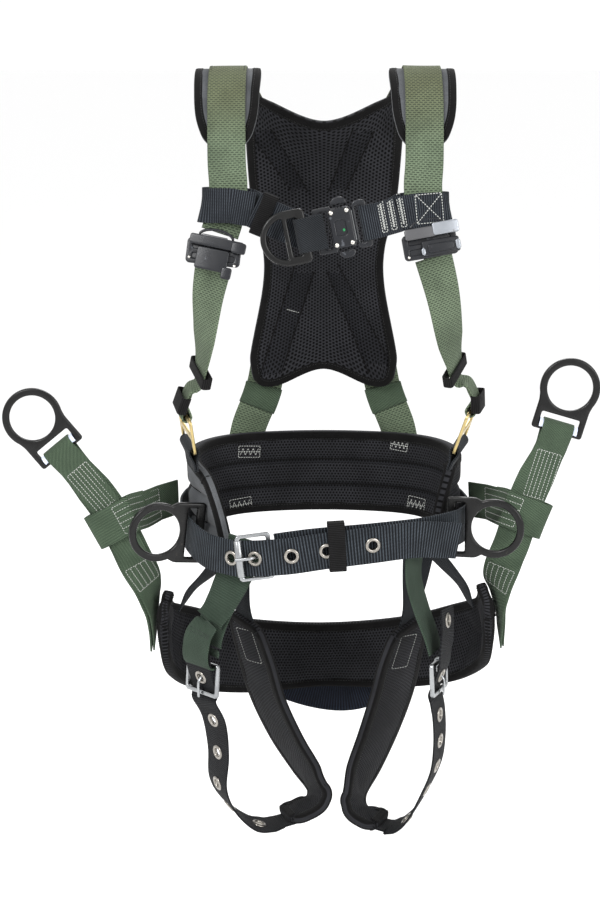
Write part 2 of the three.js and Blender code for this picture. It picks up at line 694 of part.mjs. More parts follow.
const BUCKLE_OUT = [0.05, -1, 0.05];
const BUCKLE_UP = [-0.12, 0.03, 0.99];
const BUCKLE_PIVOT = [-66, -123.6, -27.5];

// The waist buckle's frame: drawn with its pivot bar on Y through the origin and its roller at +X.
const ROLLER_AT = 37;
const FRAME_BAR = 3.8; // section of a buckle's bars
function waistFrame() {
  const half = FRAME_BAR / 2;
  const window = [roundedHole(half, -24.5, ROLLER_AT - half, 24.5, 1.5)];
  return plate(roundedShape(-half, -28.5, ROLLER_AT + half, 28.5, 1.8, window), FRAME_BAR, 0.7);
}

function onBuckle(geometry, along = 0) {
  const x = new THREE.Vector3(...BUCKLE_UP).cross(new THREE.Vector3(...BUCKLE_OUT)).negate().normalize();
  const origin = new THREE.Vector3(...BUCKLE_PIVOT).addScaledVector(x, along);
  return placed(geometry, origin.toArray(), x.toArray(), BUCKLE_UP);
}

function tube(outer, inner, length) {
  const shape = new THREE.Shape();
  shape.absarc(0, 0, outer, 0, 2 * Math.PI);
  const hole = new THREE.Path();
  hole.absarc(0, 0, inner, 0, 2 * Math.PI);
  shape.holes.push(hole);
  return plate(shape, length, 0, 8);
}

const PRONG_BENDS = [[0, -0.5], [11, -1.6], [14, -0.6], [21, 5.4], [26, 6.9], [37, 6], [43, 5.3]];
const PRONG_EYE_R = 5;
const PRONG_W = 4;
const PRONG_T = 2.8;
const BAR_HOLE_R = 2.75; // round hole over a buckle's square bar

function bucklePin() {
  return prong(PRONG_BENDS, PRONG_EYE_R, BAR_HOLE_R, PRONG_W, PRONG_T);
}

add('waist_buckle_frame', onBuckle(waistFrame()), 'steel');
const roller = tube(ROLLER_R, BAR_HOLE_R, 45).rotateX(Math.PI / 2);
add('waist_buckle_roller', onBuckle(roller, ROLLER_AT), 'steel');
add('waist_buckle_prong', onBuckle(bucklePin().rotateX(-Math.PI / 2)), 'steel');
add('belt_keeper', sleeve({
  point: new THREE.Vector3(14, -130.3, -15),
  across: new THREE.Vector3(-0.05, 0, 1),
  out: new THREE.Vector3(0.05, -1, 0),
}, 57, 14.5, 20, 1.8), 'elastic');

// ---------------------------------------------------------------- rings at the hips

const HIP_SLOT = { left: [-164.5, -54, -18], right: [167, -48, -12] };
const HIP_OUT = { left: [-0.93, -0.34, 0.02], right: [0.98, -0.2, -0.06] };
const HIP_BAR_HALF = 38;
const HIP_SLOT_HALF = 31;
const SLOT_Y = 11.25; // from a ring's bar to the middle of its slot
for (const side of ['left', 'right']) {
  const out = new THREE.Vector3(...HIP_OUT[side]).normalize();
  const bar = new THREE.Vector3(...HIP_SLOT[side]).addScaledVector(out, -SLOT_Y);
  const lean = side === 'left' ? [0.11, 0, 1] : [0, 0, 1];
  const hipRing = ring(bar.toArray(), lean, out.toArray(), HIP_BAR_HALF, HIP_SLOT_HALF);
  add(`hip_d_ring_${side}`, hipRing, 'forged');
}

// ---------------------------------------------------------------- seat sling

const SEAT_RINGS = {
  left: { bar: [-324, -30, 81], out: [-0.639, 0, 0.769] },
  right: { bar: [285, -30, 108], out: [0.283, 0, 0.959] },
};
// Centre lines of the risers, up from the seat pad.
const RISERS = {
  left: [
    [-216, 24, -178, 0.02, 1, 0.1],
    [-215, 12, -150, 0.1, 0.99, 0.1],
    [-215, -2, -122, 0.3, 0.95, 0.15],
    [-219, -18, -92, 0.7, 0.65, 0.3],
    [-234, -28, -60, 0.9, 0.1, 0.43],
    [-248, -30, -29, 0.88, 0, 0.47],
    [-271, -30, 13, 0.79, 0, 0.61],
  ],
  right: [
    [225, 24, -172, -0.02, 1, 0.1],
    [223, 10, -144, -0.1, 0.99, 0.1],
    [219, -4, -116, -0.3, 0.95, 0.15],
    [217, -19, -88, -0.75, 0.6, 0.25],
    [224, -28, -58, -0.94, 0.1, 0.25],
    [233, -30, -33, -0.95, 0, 0.3],
    [251, -30, 25, -0.93, 0, 0.37],
  ],
};
const RISER_STEPS = 5;
for (const side of ['left', 'right']) {
  const { bar, out } = SEAT_RINGS[side];
  const across = [out[2], 0, -out[0]];
  const below = bar.map((v, i) => v - 24 * out[i]);
  const turn = side === 'left' ? across : across.map((v) => -v);
  const path = smooth([...RISERS[side], [...below, ...turn]], RISER_STEPS);
  add(`riser_${side}`, strip(aroundBar(path, bar, BAR_LOOP_R + SLEEVE_T), WEB, WEB_T), 'green');
  add(`seat_d_ring_${side}`, ring(bar, across, out), 'forged');
}

// A smooth plastic lining between each seat ring's bar and its webbing.
function liner() {
  const shape = new THREE.Shape();
  const outer = BAR_LOOP_R + SLEEVE_T - WEB_T / 2 - 0.4;
  const inner = outer - SLEEVE_T;
  const reach = THREE.MathUtils.degToRad(200);
  const start = -reach / 2 + Math.PI / 2;
  shape.absarc(0, 0, outer, start, start + reach, false);
  shape.absarc(0, 0, inner, start + reach, start, true);
  shape.closePath();
  return plate(shape, 47, 0, 6);
}

for (const side of ['left', 'right']) {
  const { bar, out } = SEAT_RINGS[side];
  add(`ring_liner_${side}`, placed(liner(), bar, [0, -1, 0], out), 'sleeve');
}

// A strap from the belt out to each riser, looped round it.
const CONNECTORS = {
  left: [
    [-184, 40, 6, 0, 0, -1],
    [-206, 12, 5, 0.1, 0, -1],
    [-224, -16, 2, 0.35, 0, -0.93],
    [-236, -35.5, 2.5, 0.47, 0, -0.88],
    [-258, -36.3, -9, 0.48, 0, -0.88],
    [-279, -35.5, -20.5, 0.48, 0, -0.88],
    [-284.5, -33.5, -23.5, 0.48, 0, -0.88],
    [-286.5, -30, -24.5, 0.48, 0, -0.88],
    [-284.5, -26.5, -23.5, 0.48, 0, -0.88],
    [-279, -24.5, -20.5, 0.48, 0, -0.88],
    [-258, -23.7, -9, 0.48, 0, -0.88],
    [-236, -23.5, 2.5, 0.47, 0, -0.88],
    [-221, -12, 4, 0.35, 0, -0.93],
  ],
  right: [
    [184, 40, 3, 0, 0, -1],
    [203, 12, 6, 0, 0, -1],
    [214, -16, 8, -0.2, 0, -0.97],
    [221, -35.5, 9.5, -0.34, 0, -0.94],
    [243, -36.3, 1.5, -0.36, 0, -0.93],
    [266, -35.5, -7, -0.36, 0, -0.93],
    [272, -33.5, -9.2, -0.36, 0, -0.93],
    [274, -30, -10, -0.36, 0, -0.93],
    [272, -26.5, -9.2, -0.36, 0, -0.93],
    [266, -24.5, -7, -0.36, 0, -0.93],
    [243, -23.7, 1.5, -0.36, 0, -0.93],
    [221, -23.5, 9.5, -0.34, 0, -0.94],
    [213, -12, 8.5, -0.2, 0, -0.97],
  ],
};
for (const side of ['left', 'right']) {
  add(`side_connector_${side}`, strip(CONNECTORS[side], WEB, WEB_T), 'green');
}

// The seat pad's stations from its left front end to its right: [top, middle, bottom].
const SEAT_ROWS = [
  [[-192, -22, -98], [-199, -18, -120], [-200, -8, -146]],
  [[-197, 8, -112], [-203, 10, -155], [-200, 14, -200]],
  [[-194, 44, -132], [-200, 48, -182], [-190, 50, -236]],
  [[-166, 80, -150], [-171, 84, -205], [-160, 84, -262]],
  [[-100, 110, -174], [-102, 114, -225], [-96, 114, -275]],
  [[0, 124, -184], [0, 128, -228], [0, 126, -270]],
  [[100, 110, -172], [103, 114, -220], [97, 114, -268]],
  [[168, 80, -146], [175, 84, -198], [165, 84, -252]],
  [[196, 44, -126], [208, 48, -172], [200, 50, -224]],
  [[199, 8, -104], [209, 10, -147], [208, 14, -190]],
  [[194, -22, -88], [203, -20, -112], [205, -10, -138]],
];
add('seat_pad', pad(SEAT_ROWS, SEAT_PAD_T, 2, 20), 'mesh');

// The load strap under the seat pad, from riser to riser.
const SEAT_BAND = [
  [-203, 70, -192, 0.2, 0.2, 1],
  [-166, 104, -214, 0.1, 0.1, 1],
  [-104, 127, -243, 0, 0, 1],
  [-60, 135, -264, 0, 0, 1],
  [-10, 139, -282, 0, 0, 1],
  [36, 139, -286, 0, 0, 1],
  [82, 132, -268, 0, 0, 1],
  [124, 122, -240, 0, 0, 1],
  [172, 102, -208, -0.1, 0.1, 1],
  [210, 70, -184, -0.2, 0.2, 1],
];
add('seat_webbing', strip(smooth(SEAT_BAND, 2), WEB, WEB_T), 'black');

// Narrow straps that hold the seat pad's front corners up to the waist.
const HANGER_W = 25;
const SEAT_HANGERS = {
  left: [
    [-128, -24, -58, 0.9, 0.4, 0],
    [-146, -4, -84, 0.8, 0.6, 0],
    [-168, 24, -112, 0.5, 0.85, 0],
    [-182, 30, -138, 0.15, 0.98, 0],
  ],
  right: [
    [140, -22, -54, 0.9, -0.4, 0],
    [158, -4, -78, 0.8, -0.6, 0],
    [176, 22, -106, 0.5, -0.85, 0],
    [187, 30, -132, 0.2, -0.98, 0],
  ],
};
for (const side of ['left', 'right']) {
  add(`seat_hanger_${side}`, strip(smooth(SEAT_HANGERS[side], 2), HANGER_W, WEB_T), 'black');
}

// ---------------------------------------------------------------- leg loops

const LEGS = {
  left: {
    pivot: [-148, -97, -170],
    out: [-0.72, -0.69, 0],
    down: [-0.05, -0.02, -1],
    strap: [
      [-95, -98, -14, 0.94, -0.3, 0.1],
      [-101, -95, -40, 0.92, -0.35, 0.1],
      [-114, -92, -72, 0.88, -0.45, 0.12],
      [-130, -92, -104, 0.8, -0.58, 0.1],
      [-140, -94, -134, 0.72, -0.68, 0.05],
    ],
    tongue: [
      [-57, -33, -400, 0.1, -0.95, 0.0],
      [-72, -42, -400, 0.15, -0.95, -0.05],
      [-93, -55, -392, 0.25, -0.93, -0.1],
      [-118, -70, -364, 0.4, -0.9, -0.1],
      [-132, -80, -331, 0.5, -0.86, -0.05],
      [-131, -88, -288, 0.58, -0.81, 0],
      [-136, -92, -245, 0.66, -0.75, 0],
    ],
    tail: [],
    tailHole: [],
    pad: [
      [-99, -22, -136, 0.436, -0.88, 0.177, 72],
      [-86, -6, -190, 0.436, -0.88, 0.177, 88],
      [-72, 4, -245, 0.44, -0.88, 0.19, 90],
      [-48, 8, -300, 0.42, -0.88, 0.22, 90],
      [-22, 4, -342, 0.38, -0.9, 0.22, 90],
      [-8, -4, -366, 0.25, -0.95, 0.15, 88],
      [-12, -13, -380, 0.15, -0.97, 0.05, 80],
      [-30, -22, -389, 0.1, -0.98, 0, 66],
      [-50, -29, -392, 0.1, -0.98, 0, 54],
    ],
    hanger: [
      [-110, 4, -62, 0.85, -0.5, 0.1],
      [-108, -4, -90, 0.7, -0.7, 0.15],
      [-102, -14, -121, 0.436, -0.88, 0.177],
    ],
  },
  right: {
    pivot: [139, -97, -168],
    out: [0.93, -0.36, 0],
    down: [0.04, -0.02, -1],
    strap: [
      [113, -86, -14, 0.6, 0.8, 0.1],
      [109, -84, -44, 0.5, 0.86, 0.1],
      [109, -84, -72, 0.42, 0.9, 0.1],
      [118, -88, -104, 0.38, 0.92, 0.1],
      [129, -93, -134, 0.36, 0.93, 0.05],
    ],
    tongue: [
      [84, -34, -406, -0.1, -0.95, 0.0],
      [98, -44, -398, -0.2, -0.95, -0.05],
      [112, -56, -379, -0.3, -0.93, -0.1],
      [127, -70, -343, -0.36, -0.92, -0.1],
      [139, -80, -308, -0.36, -0.93, -0.05],
      [142, -88, -273, -0.36, -0.93, 0],
      [141, -92, -238, -0.36, -0.93, 0],
    ],
    tail: [
      [150, -92, -132, -0.36, -0.93, 0],
      [149, -88, -104, -0.36, -0.93, 0],
    ],
    tailHole: [12.5],
    pad: [
      [106, -22, -142, -0.5, -0.85, 0.17, 72],
      [97, -6, -190, -0.54, -0.82, 0.18, 88],
      [87, 4, -241, -0.56, -0.8, 0.18, 90],
      [71, 8, -293, -0.54, -0.82, 0.18, 90],
      [52, 6, -342, -0.48, -0.86, 0.16, 90],
      [40, -2, -374, -0.3, -0.93, 0.1, 88],
      [43, -12, -390, -0.15, -0.97, 0.05, 80],
      [58, -22, -398, -0.1, -0.98, 0, 66],
      [76, -29, -399, -0.1, -0.98, 0, 54],
    ],
    hanger: [
      [118, 4, -62, -0.85, -0.5, 0.1],
      [114, -4, -92, -0.7, -0.7, 0.15],
      [108, -14, -126, -0.436, -0.88, 0.177],
    ],
  },
};

// A leg buckle's axes: down to its far bar, along its bars, and out of its face.
function legAxes({ out, down }) {
  const x = new THREE.Vector3(...down).normalize();
  const z = new THREE.Vector3(...out);
  z.addScaledVector(x, -z.dot(x)).normalize();
  return { x, y: new THREE.Vector3().crossVectors(z, x), z };
}

function onLegBuckle(leg, geometry) {
  const { x, y } = legAxes(leg);
  return placed(geometry, leg.pivot, x.toArray(), y.toArray());
}

// A point of a leg buckle: so far down from its pivot bar and so far out of its face.
function legPoint(leg, fall, rise) {
  const { x, z } = legAxes(leg);
  return new THREE.Vector3(...leg.pivot).addScaledVector(x, fall).addScaledVector(z, rise).toArray();
}

for (const side of ['left', 'right']) {
  const leg = LEGS[side];
  const sign = side === 'left' ? 1 : -1;
  const along = legAxes(leg).y.multiplyScalar(sign).toArray();
  const through = [[48, -4], [37, -6.1], [18, 2.3], [2, 7.9], [-16, 10]].map(([fall, rise]) => [
    ...legPoint(leg, fall, rise), ...along,
  ]);
  const tongue = smooth([...leg.tongue, ...through, ...leg.tail], 2);
  const count = leg.tongue.length + through.length + leg.tail.length - 1;
  const holes = [1.5, 3, 4, 5, 6, 9, ...leg.tailHole].map((at) => at / count);
  add(`leg_tongue_${side}`, punch(strip(tongue, WEB, WEB_T), tongue, holes), 'black');
  add(`leg_buckle_frame_${side}`, onLegBuckle(leg, waistFrame()), 'steel');
  add(`leg_buckle_prong_${side}`, onLegBuckle(leg, bucklePin().rotateX(Math.PI / 2)), 'steel');
  const above = [...legPoint(leg, -12, -3.5), ...along.map((v) => -v)];
  add(`leg_strap_${side}`, strip(smooth([...leg.strap, above], 5), WEB, WEB_T), 'green');
  add(`leg_pad_${side}`, strip(smooth(leg.pad, 3), 0, LEG_PAD_T), 'mesh');
  add(`leg_hanger_${side}`, strip(smooth(leg.hanger, 3), WEB, WEB_T), 'black');
}

export default group;
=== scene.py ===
# The looks of a full-body tree climbing saddle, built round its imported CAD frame.
# Lengths are written in millimetres and turned into metres when a mesh is made.
import math

import bpy
import numpy as np
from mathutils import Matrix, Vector
from mathutils.bvhtree import BVHTree
from mathutils.geometry import tessellate_polygon


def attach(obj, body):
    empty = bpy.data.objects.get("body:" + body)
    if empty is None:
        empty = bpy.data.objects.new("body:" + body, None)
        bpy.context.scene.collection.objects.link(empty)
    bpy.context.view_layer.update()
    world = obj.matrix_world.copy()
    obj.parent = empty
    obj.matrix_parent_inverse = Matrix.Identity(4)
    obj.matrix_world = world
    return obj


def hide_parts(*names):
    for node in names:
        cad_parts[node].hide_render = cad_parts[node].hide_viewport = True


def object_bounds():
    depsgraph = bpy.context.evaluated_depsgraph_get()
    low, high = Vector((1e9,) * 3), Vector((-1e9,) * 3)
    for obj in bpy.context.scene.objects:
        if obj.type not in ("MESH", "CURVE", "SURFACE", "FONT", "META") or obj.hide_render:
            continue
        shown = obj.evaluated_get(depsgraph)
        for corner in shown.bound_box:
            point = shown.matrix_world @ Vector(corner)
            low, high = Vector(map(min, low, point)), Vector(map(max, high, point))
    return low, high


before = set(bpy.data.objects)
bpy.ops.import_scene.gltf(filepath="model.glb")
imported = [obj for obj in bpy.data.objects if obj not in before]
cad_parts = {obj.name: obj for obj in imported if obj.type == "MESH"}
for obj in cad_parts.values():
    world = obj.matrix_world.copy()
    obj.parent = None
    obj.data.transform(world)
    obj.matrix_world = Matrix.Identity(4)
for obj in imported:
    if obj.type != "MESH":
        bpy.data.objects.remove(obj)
cad_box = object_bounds()

MM = 0.001
WEB = 45  # width of the main webbing
WEB_T = 2.2
BELT_T = 3
LAYER = 1.5  # half the distance between two sewn layers
PAD_T = 10
WAIST_PAD_T = 13
SEAT_PAD_T = 12
LEG_PAD_T = 10
RING_T = 7
EYE_R = 28
RIM_R = 37
EYE_Y = 53
BAR_LOOP_R = 8.4
SLEEVE_T = 1.2
CHEST_WEB = 41
CHEST_BAR_R = 5.9
HIP_LOOP_R = 6
ROLLER_AT = 37
FRAME_BAR = 5.4
HANGER_W = 25
GROMMET_R = 5.3
HARNESS = "harness"
MIX_COLOUR_INPUTS = (0, 6, 7)  # the factor and the two colours of a colour mix node
MIX_COLOUR_OUTPUT = 2
CLOTH_FRAMES = 16
MOST_PUFF = 4  # how far a pad's cloth may move as it settles
PAD_RIM = 0.5  # a pad's thickness at its rim, as a share of its middle
BINDING_T = 0.6
EASED = 6  # passes that even out a strap's bends
STITCH_PITCH = 3.3
STITCH_LENGTH = 2.3
STITCH_R = 0.42
UP = (0, 0, 1)


# ---------------------------------------------------------------- vectors and curves

def unit(v):
    v = np.asarray(v, float)
    return v / np.linalg.norm(v)


def square_to(v, axis):
    """The unit vector nearest to v that is square to a unit axis."""
    v = np.asarray(v, float)
    return unit(v - axis * np.dot(v, axis))


def catmull(points, steps):
    """A Catmull-Rom curve through points, with the given number of steps between each two."""
    p = np.asarray(points, float)
    p = np.vstack([2 * p[0] - p[1], p, 2 * p[-1] - p[-2]])
    out = []
    for a, b, c, d in zip(p, p[1:], p[2:], p[3:]):
        for t in np.arange(steps) / steps:
            out.append(0.5 * (2 * b + (c - a) * t + (2 * a - 5 * b + 4 * c - d) * t**2
                              + (3 * b - a - 3 * c + d) * t**3))
    return np.array(out + [p[-2]])


def mirrored(stations):
    return [[-s[0], s[1], s[2], -s[3], *s[4:]] for s in stations]


def smooth(stations, steps):
    """Stations are [x, y, z, ax, ay, az], a point of a strap's centre line and the way across it."""
    return catmull([s[:6] for s in stations], steps)


def frames(stations):
    """At each station: the point, and unit vectors along the strap, across it and out of its face."""
    s = np.asarray(stations, float)
    point = s[:, :3]
    along = np.vstack([point[1] - point[0], point[2:] - point[:-2], point[-1] - point[-2]])
    along /= np.linalg.norm(along, axis=1)[:, None]
    across = s[:, 3:6] - along * np.sum(s[:, 3:6] * along, axis=1)[:, None]
    across /= np.linalg.norm(across, axis=1)[:, None]
    return point, along, across, np.cross(along, across)


def offset(stations, distance):
    s = np.array(stations, float)
    s[:, :3] += frames(s)[3] * distance
    return s


def around_bar(stations, bar, radius):
    """A strap that runs up to a bar, turns round it and lies back on itself."""
    s = np.asarray(stations, float)
    along = unit(np.asarray(bar) - s[-1, :3])
    across = square_to(s[-1, 3:6], along)
    out = np.cross(along, across)
    turn = []
    for degrees in range(115, -116, -23):
        a = math.radians(degrees)
        point = np.asarray(bar) + radius * (along * math.cos(a) + out * math.sin(a))
        turn.append([*point, *across])
    return np.vstack([offset(s, LAYER), turn, offset(s, -LAYER)[::-1]])


# ---------------------------------------------------------------- meshes

def make(name, points, faces, material, weave=None, flat=(), body=HARNESS):
    """A mesh object from points in millimetres. weave is a (u, v) place on the cloth for each point."""
    mesh = bpy.data.meshes.new(name)
    mesh.from_pydata((np.asarray(points, float) * MM).tolist(), [], faces)
    mesh.validate()
    mesh.shade_smooth()
    for i in flat:
        mesh.polygons[i].use_smooth = False
    if weave is not None:
        cloth = np.zeros((len(points), 3), np.float32)
        cloth[:, :np.asarray(weave).shape[1]] = np.asarray(weave) * MM
        mesh.attributes.new("weave", "FLOAT_VECTOR", "POINT").data.foreach_set("vector", cloth.ravel())
    mesh.materials.append(material)
    obj = bpy.data.objects.new(name, mesh)
    bpy.context.scene.collection.objects.link(obj)
    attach(obj, body)
    return obj


def skin(rings, closed=False):
    """Points and faces of a surface through rings of points, each ring a closed loop."""
    count, around = len(rings), len(rings[0])
    faces = []
    for i in range(count if closed else count - 1):
        a, b = i * around, (i + 1) % count * around
        for k in range(around):
            n = (k + 1) % around
            faces.append((a + k, a + n, b + n, b + k))
    if not closed:
        faces.append(tuple(range(around))[::-1])
        faces.append(tuple(range((count - 1) * around, count * around)))
    return np.vstack(rings), faces


def distances(points):
    steps = np.linalg.norm(np.diff(points, axis=0), axis=1)
    return np.concatenate([[0], np.cumsum(steps)])


def joined(parts):
    """Several (points, faces) as one."""
    points, faces, base = [], [], 0
    for p, f in parts:
        points.append(p)
        faces += [tuple(i + base for i in face) for face in f]
        base += len(p)
    return np.vstack(points), faces


def outward(points, faces):
    """Turns a closed surface's faces to point out."""
    corners = np.array([(f[0], b, c) for f in faces for b, c in zip(f[1:], f[2:])])
    a, b, c = points[corners.T]
    volume = np.sum(a * np.cross(b, c))
    return faces if volume > 0 else [f[::-1] for f in faces]


# ---------------------------------------------------------------- materials

def new_material(name, metallic=0.0):
    material = bpy.data.materials.new(name)
    material.use_nodes = True
    shader = material.node_tree.nodes["Principled BSDF"]
    shader.inputs["Metallic"].default_value = metallic
    return material, material.node_tree, shader


def feed(tree, value, socket):
    if isinstance(value, bpy.types.NodeSocket):
        tree.links.new(value, socket)
    else:
        socket.default_value = value


def maths(tree, operation, a, b=0.0):
    node = tree.nodes.new("ShaderNodeMath")
    node.operation = operation
    feed(tree, a, node.inputs[0])
    feed(tree, b, node.inputs[1])
    return node.outputs[0]


def wave(tree, place, period, shift=0.0):
    """A sine of a place in metres, from -1 to 1, with a period in millimetres."""
    turned = maths(tree, "MULTIPLY", place, 2 * math.pi / (period * MM))
    return maths(tree, "SINE", maths(tree, "ADD", turned, shift))


def step(tree, value, low, high):
    """Smoothly 0 below low and 1 above high."""
    node = tree.nodes.new("ShaderNodeMapRange")
    node.interpolation_type = "SMOOTHSTEP"
    feed(tree, value, node.inputs["Value"])
    node.inputs["From Min"].default_value = low
    node.inputs["From Max"].default_value = high
    return node.outputs["Result"]


def mix(tree, factor, a, b):
    node = tree.nodes.new("ShaderNodeMix")
    node.data_type = "RGBA"
    factor_socket, first, second = (node.inputs[i] for i in MIX_COLOUR_INPUTS)
    feed(tree, factor, factor_socket)
    feed(tree, (*a, 1) if isinstance(a, tuple) else a, first)
    feed(tree, (*b, 1) if isinstance(b, tuple) else b, second)
    return node.outputs[MIX_COLOUR_OUTPUT]


def between(tree, factor, a, b):
    """A number from a to b as factor goes from 0 to 1."""
    return maths(tree, "ADD", maths(tree, "MULTIPLY", factor, b - a), a)


def noise(tree, scale, detail=3.0, stretch=None):
    """Fractal noise from 0 to 1 over the object's own coordinates, in features per metre."""
    place = tree.nodes.new("ShaderNodeTexCoord").outputs["Object"]
    if stretch:
        mapping = tree.nodes.new("ShaderNodeMapping")
        mapping.inputs["Scale"].default_value = stretch
        tree.links.new(place, mapping.inputs["Vector"])
        place = mapping.outputs["Vector"]
    node = tree.nodes.new("ShaderNodeTexNoise")
    node.inputs["Scale"].default_value = scale
    node.inputs["Detail"].default_value = detail
    tree.links.new(place, node.inputs["Vector"])
    return node.outputs["Fac"]


def bump(tree, shader, height, depth):
    node = tree.nodes.new("ShaderNodeBump")
    node.inputs["Strength"].default_value = 1.0
    node.inputs["Distance"].default_value = depth * MM
    feed(tree, height, node.inputs["Height"])
    tree.links.new(node.outputs["Normal"], shader.inputs["Normal"])


def cloth_place(tree):
    """Where a point lies on its cloth: across it, and along it."""
    node = tree.nodes.new("ShaderNodeAttribute")
    node.attribute_name = "weave"
    split = tree.nodes.new("ShaderNodeSeparateXYZ")
    tree.links.new(node.outputs["Vector"], split.inputs[0])
    return split.outputs["X"], split.outputs["Y"]


def fabric(shader, sheen, roughness=0.85):
    shader.inputs["Roughness"].default_value = roughness
    shader.inputs["Sheen Weight"].default_value = sheen
    shader.inputs["Sheen Roughness"].default_value = 0.5
    shader.inputs["Specular IOR Level"].default_value = 0.12


def brick_webbing(name, light, dark, row=2.7, dash=5.4, painted_light=None):
    """Webbing woven in rows of short dashes, each row half a dash along from the last."""
    material, tree, shader = new_material(name)
    u, v = cloth_place(tree)
    rows = maths(tree, "DIVIDE", v, row * MM)
    number = maths(tree, "FLOOR", rows)
    within = maths(tree, "ABSOLUTE", maths(tree, "SUBTRACT", maths(tree, "SUBTRACT", rows, number), 0.5))
    turned = maths(tree, "ADD", maths(tree, "MULTIPLY", u, 2 * math.pi / (dash * MM)),
                   maths(tree, "MULTIPLY", number, math.pi))
    gap = step(tree, maths(tree, "SINE", turned), -0.7, -0.15)
    line = maths(tree, "MULTIPLY", maths(tree, "SUBTRACT", 1.0, step(tree, within, 0.12, 0.3)), gap)
    yarns = step(tree, wave(tree, u, 1.25), -0.6, 0.9)
    patch = noise(tree, 25.0, 4.0)
    soil = step(tree, noise(tree, 300.0, 3.0), 0.45, 0.8)
    body = mix(tree, step(tree, patch, 0.35, 0.7), light, tuple(c * 0.72 for c in light))
    # painted light: the webbing is drawn towards olive where the given mask of lit places is high
    if painted_light:
        body = mix(tree, painted_light(tree), body, (0.13, 0.125, 0.06))
    body = mix(tree, maths(tree, "MULTIPLY", yarns, 0.32), body, dark)
    body = mix(tree, maths(tree, "MULTIPLY", soil, 0.25), body, dark)
    feed(tree, mix(tree, maths(tree, "MULTIPLY", line, 0.8), body, dark), shader.inputs["Base Color"])
    height = maths(tree, "SUBTRACT", maths(tree, "MULTIPLY", yarns, 0.35), line)
    bump(tree, shader, height, 0.6)
    fabric(shader, 0.06)
    return material


def twill_webbing(name, light, dark, pitch=2.6, slope=1.0, contrast=0.85):
    """Webbing with fine slanting ribs."""
    material, tree, shader = new_material(name)
    u, v = cloth_place(tree)
    slant = maths(tree, "ADD", v, maths(tree, "MULTIPLY", u, slope))
    rib = step(tree, wave(tree, slant, pitch), -0.55, 0.75)
    yarn = wave(tree, maths(tree, "SUBTRACT", v, maths(tree, "MULTIPLY", u, slope)), 1.3)
    patch = step(tree, noise(tree, 30.0, 4.0), 0.3, 0.75)
    body = mix(tree, patch, light, tuple(c * 0.75 for c in light))
    colour = mix(tree, maths(tree, "MULTIPLY", rib, contrast), body, dark)
    feed(tree, mix(tree, step(tree, yarn, 0.6, 1.0), colour, dark), shader.inputs["Base Color"])
    bump(tree, shader, maths(tree, "SUBTRACT", maths(tree, "MULTIPLY", yarn, 0.15), rib), 0.45)
    fabric(shader, 0.04)
    return material


def rib_webbing(name, light, dark, pitch=3.7):
    """Stiff belt webbing: pale ribs that run across it, each a twisted cord."""
    material, tree, shader = new_material(name)
    u, v = cloth_place(tree)
    rib = step(tree, wave(tree, v, pitch), -0.25, 0.6)
    twist = wave(tree, maths(tree, "ADD", u, maths(tree, "MULTIPLY", v, 0.7)), 1.7)
    patch = step(tree, noise(tree, 40.0, 4.0), 0.3, 0.75)
    pale = mix(tree, patch, light, tuple(c * 0.55 for c in light))
    pale = mix(tree, step(tree, twist, 0.2, 0.9), pale, dark)
    feed(tree, mix(tree, rib, dark, pale), shader.inputs["Base Color"])
    bump(tree, shader, maths(tree, "ADD", rib, maths(tree, "MULTIPLY", twist, 0.2)), 0.7)
    fabric(shader, 0.03, 0.75)
    return material


def mesh_fabric(name, light, dark, pitch=3.9):
    """Knitted spacer mesh: small round holes on a six-sided grid."""
    material, tree, shader = new_material(name)
    u, v = cloth_place(tree)
    half = maths(tree, "MULTIPLY", u, 0.5)
    rise = maths(tree, "MULTIPLY", v, math.sqrt(3) / 2)
    quarter = math.pi / 2
    a = wave(tree, u, pitch, quarter)
    b = wave(tree, maths(tree, "ADD", half, rise), pitch, quarter)
    c = wave(tree, maths(tree, "SUBTRACT", half, rise), pitch, quarter)
    holes = step(tree, maths(tree, "ADD", a, maths(tree, "ADD", b, c)), -0.5, 1.0)
    patch = step(tree, noise(tree, 22.0, 4.0), 0.3, 0.8)
    yarn = mix(tree, patch, light, tuple(x * 0.6 for x in light))
    feed(tree, mix(tree, holes, yarn, dark), shader.inputs["Base Color"])
    bump(tree, shader, maths(tree, "SUBTRACT", 1.0, holes), 0.8)
    fabric(shader, 0.02)
    return material


def grosgrain(name, light, dark, pitch=1.6):
    """Plain narrow tape with fine ribs across it."""
    material, tree, shader = new_material(name)
    _, v = cloth_place(tree)
    rib = step(tree, wave(tree, v, pitch), -0.7, 0.7)
    patch = step(tree, noise(tree, 60.0, 5.0), 0.3, 0.75)
    body = mix(tree, patch, light, tuple(x * 0.6 for x in light))
    feed(tree, mix(tree, rib, dark, body), shader.inputs["Base Color"])
    bump(tree, shader, rib, 0.25)
    fabric(shader, 0.03, 0.9)
    return material


def felt(name, light, dark):
    material, tree, shader = new_material(name)
    fine = noise(tree, 900.0, 2.0)
    broad = step(tree, noise(tree, 18.0, 5.0), 0.3, 0.75)
    body = mix(tree, broad, light, dark)
    feed(tree, mix(tree, step(tree, fine, 0.45, 0.8), body, dark), shader.inputs["Base Color"])
    bump(tree, shader, fine, 0.25)
    fabric(shader, 0.1, 0.95)
    return material


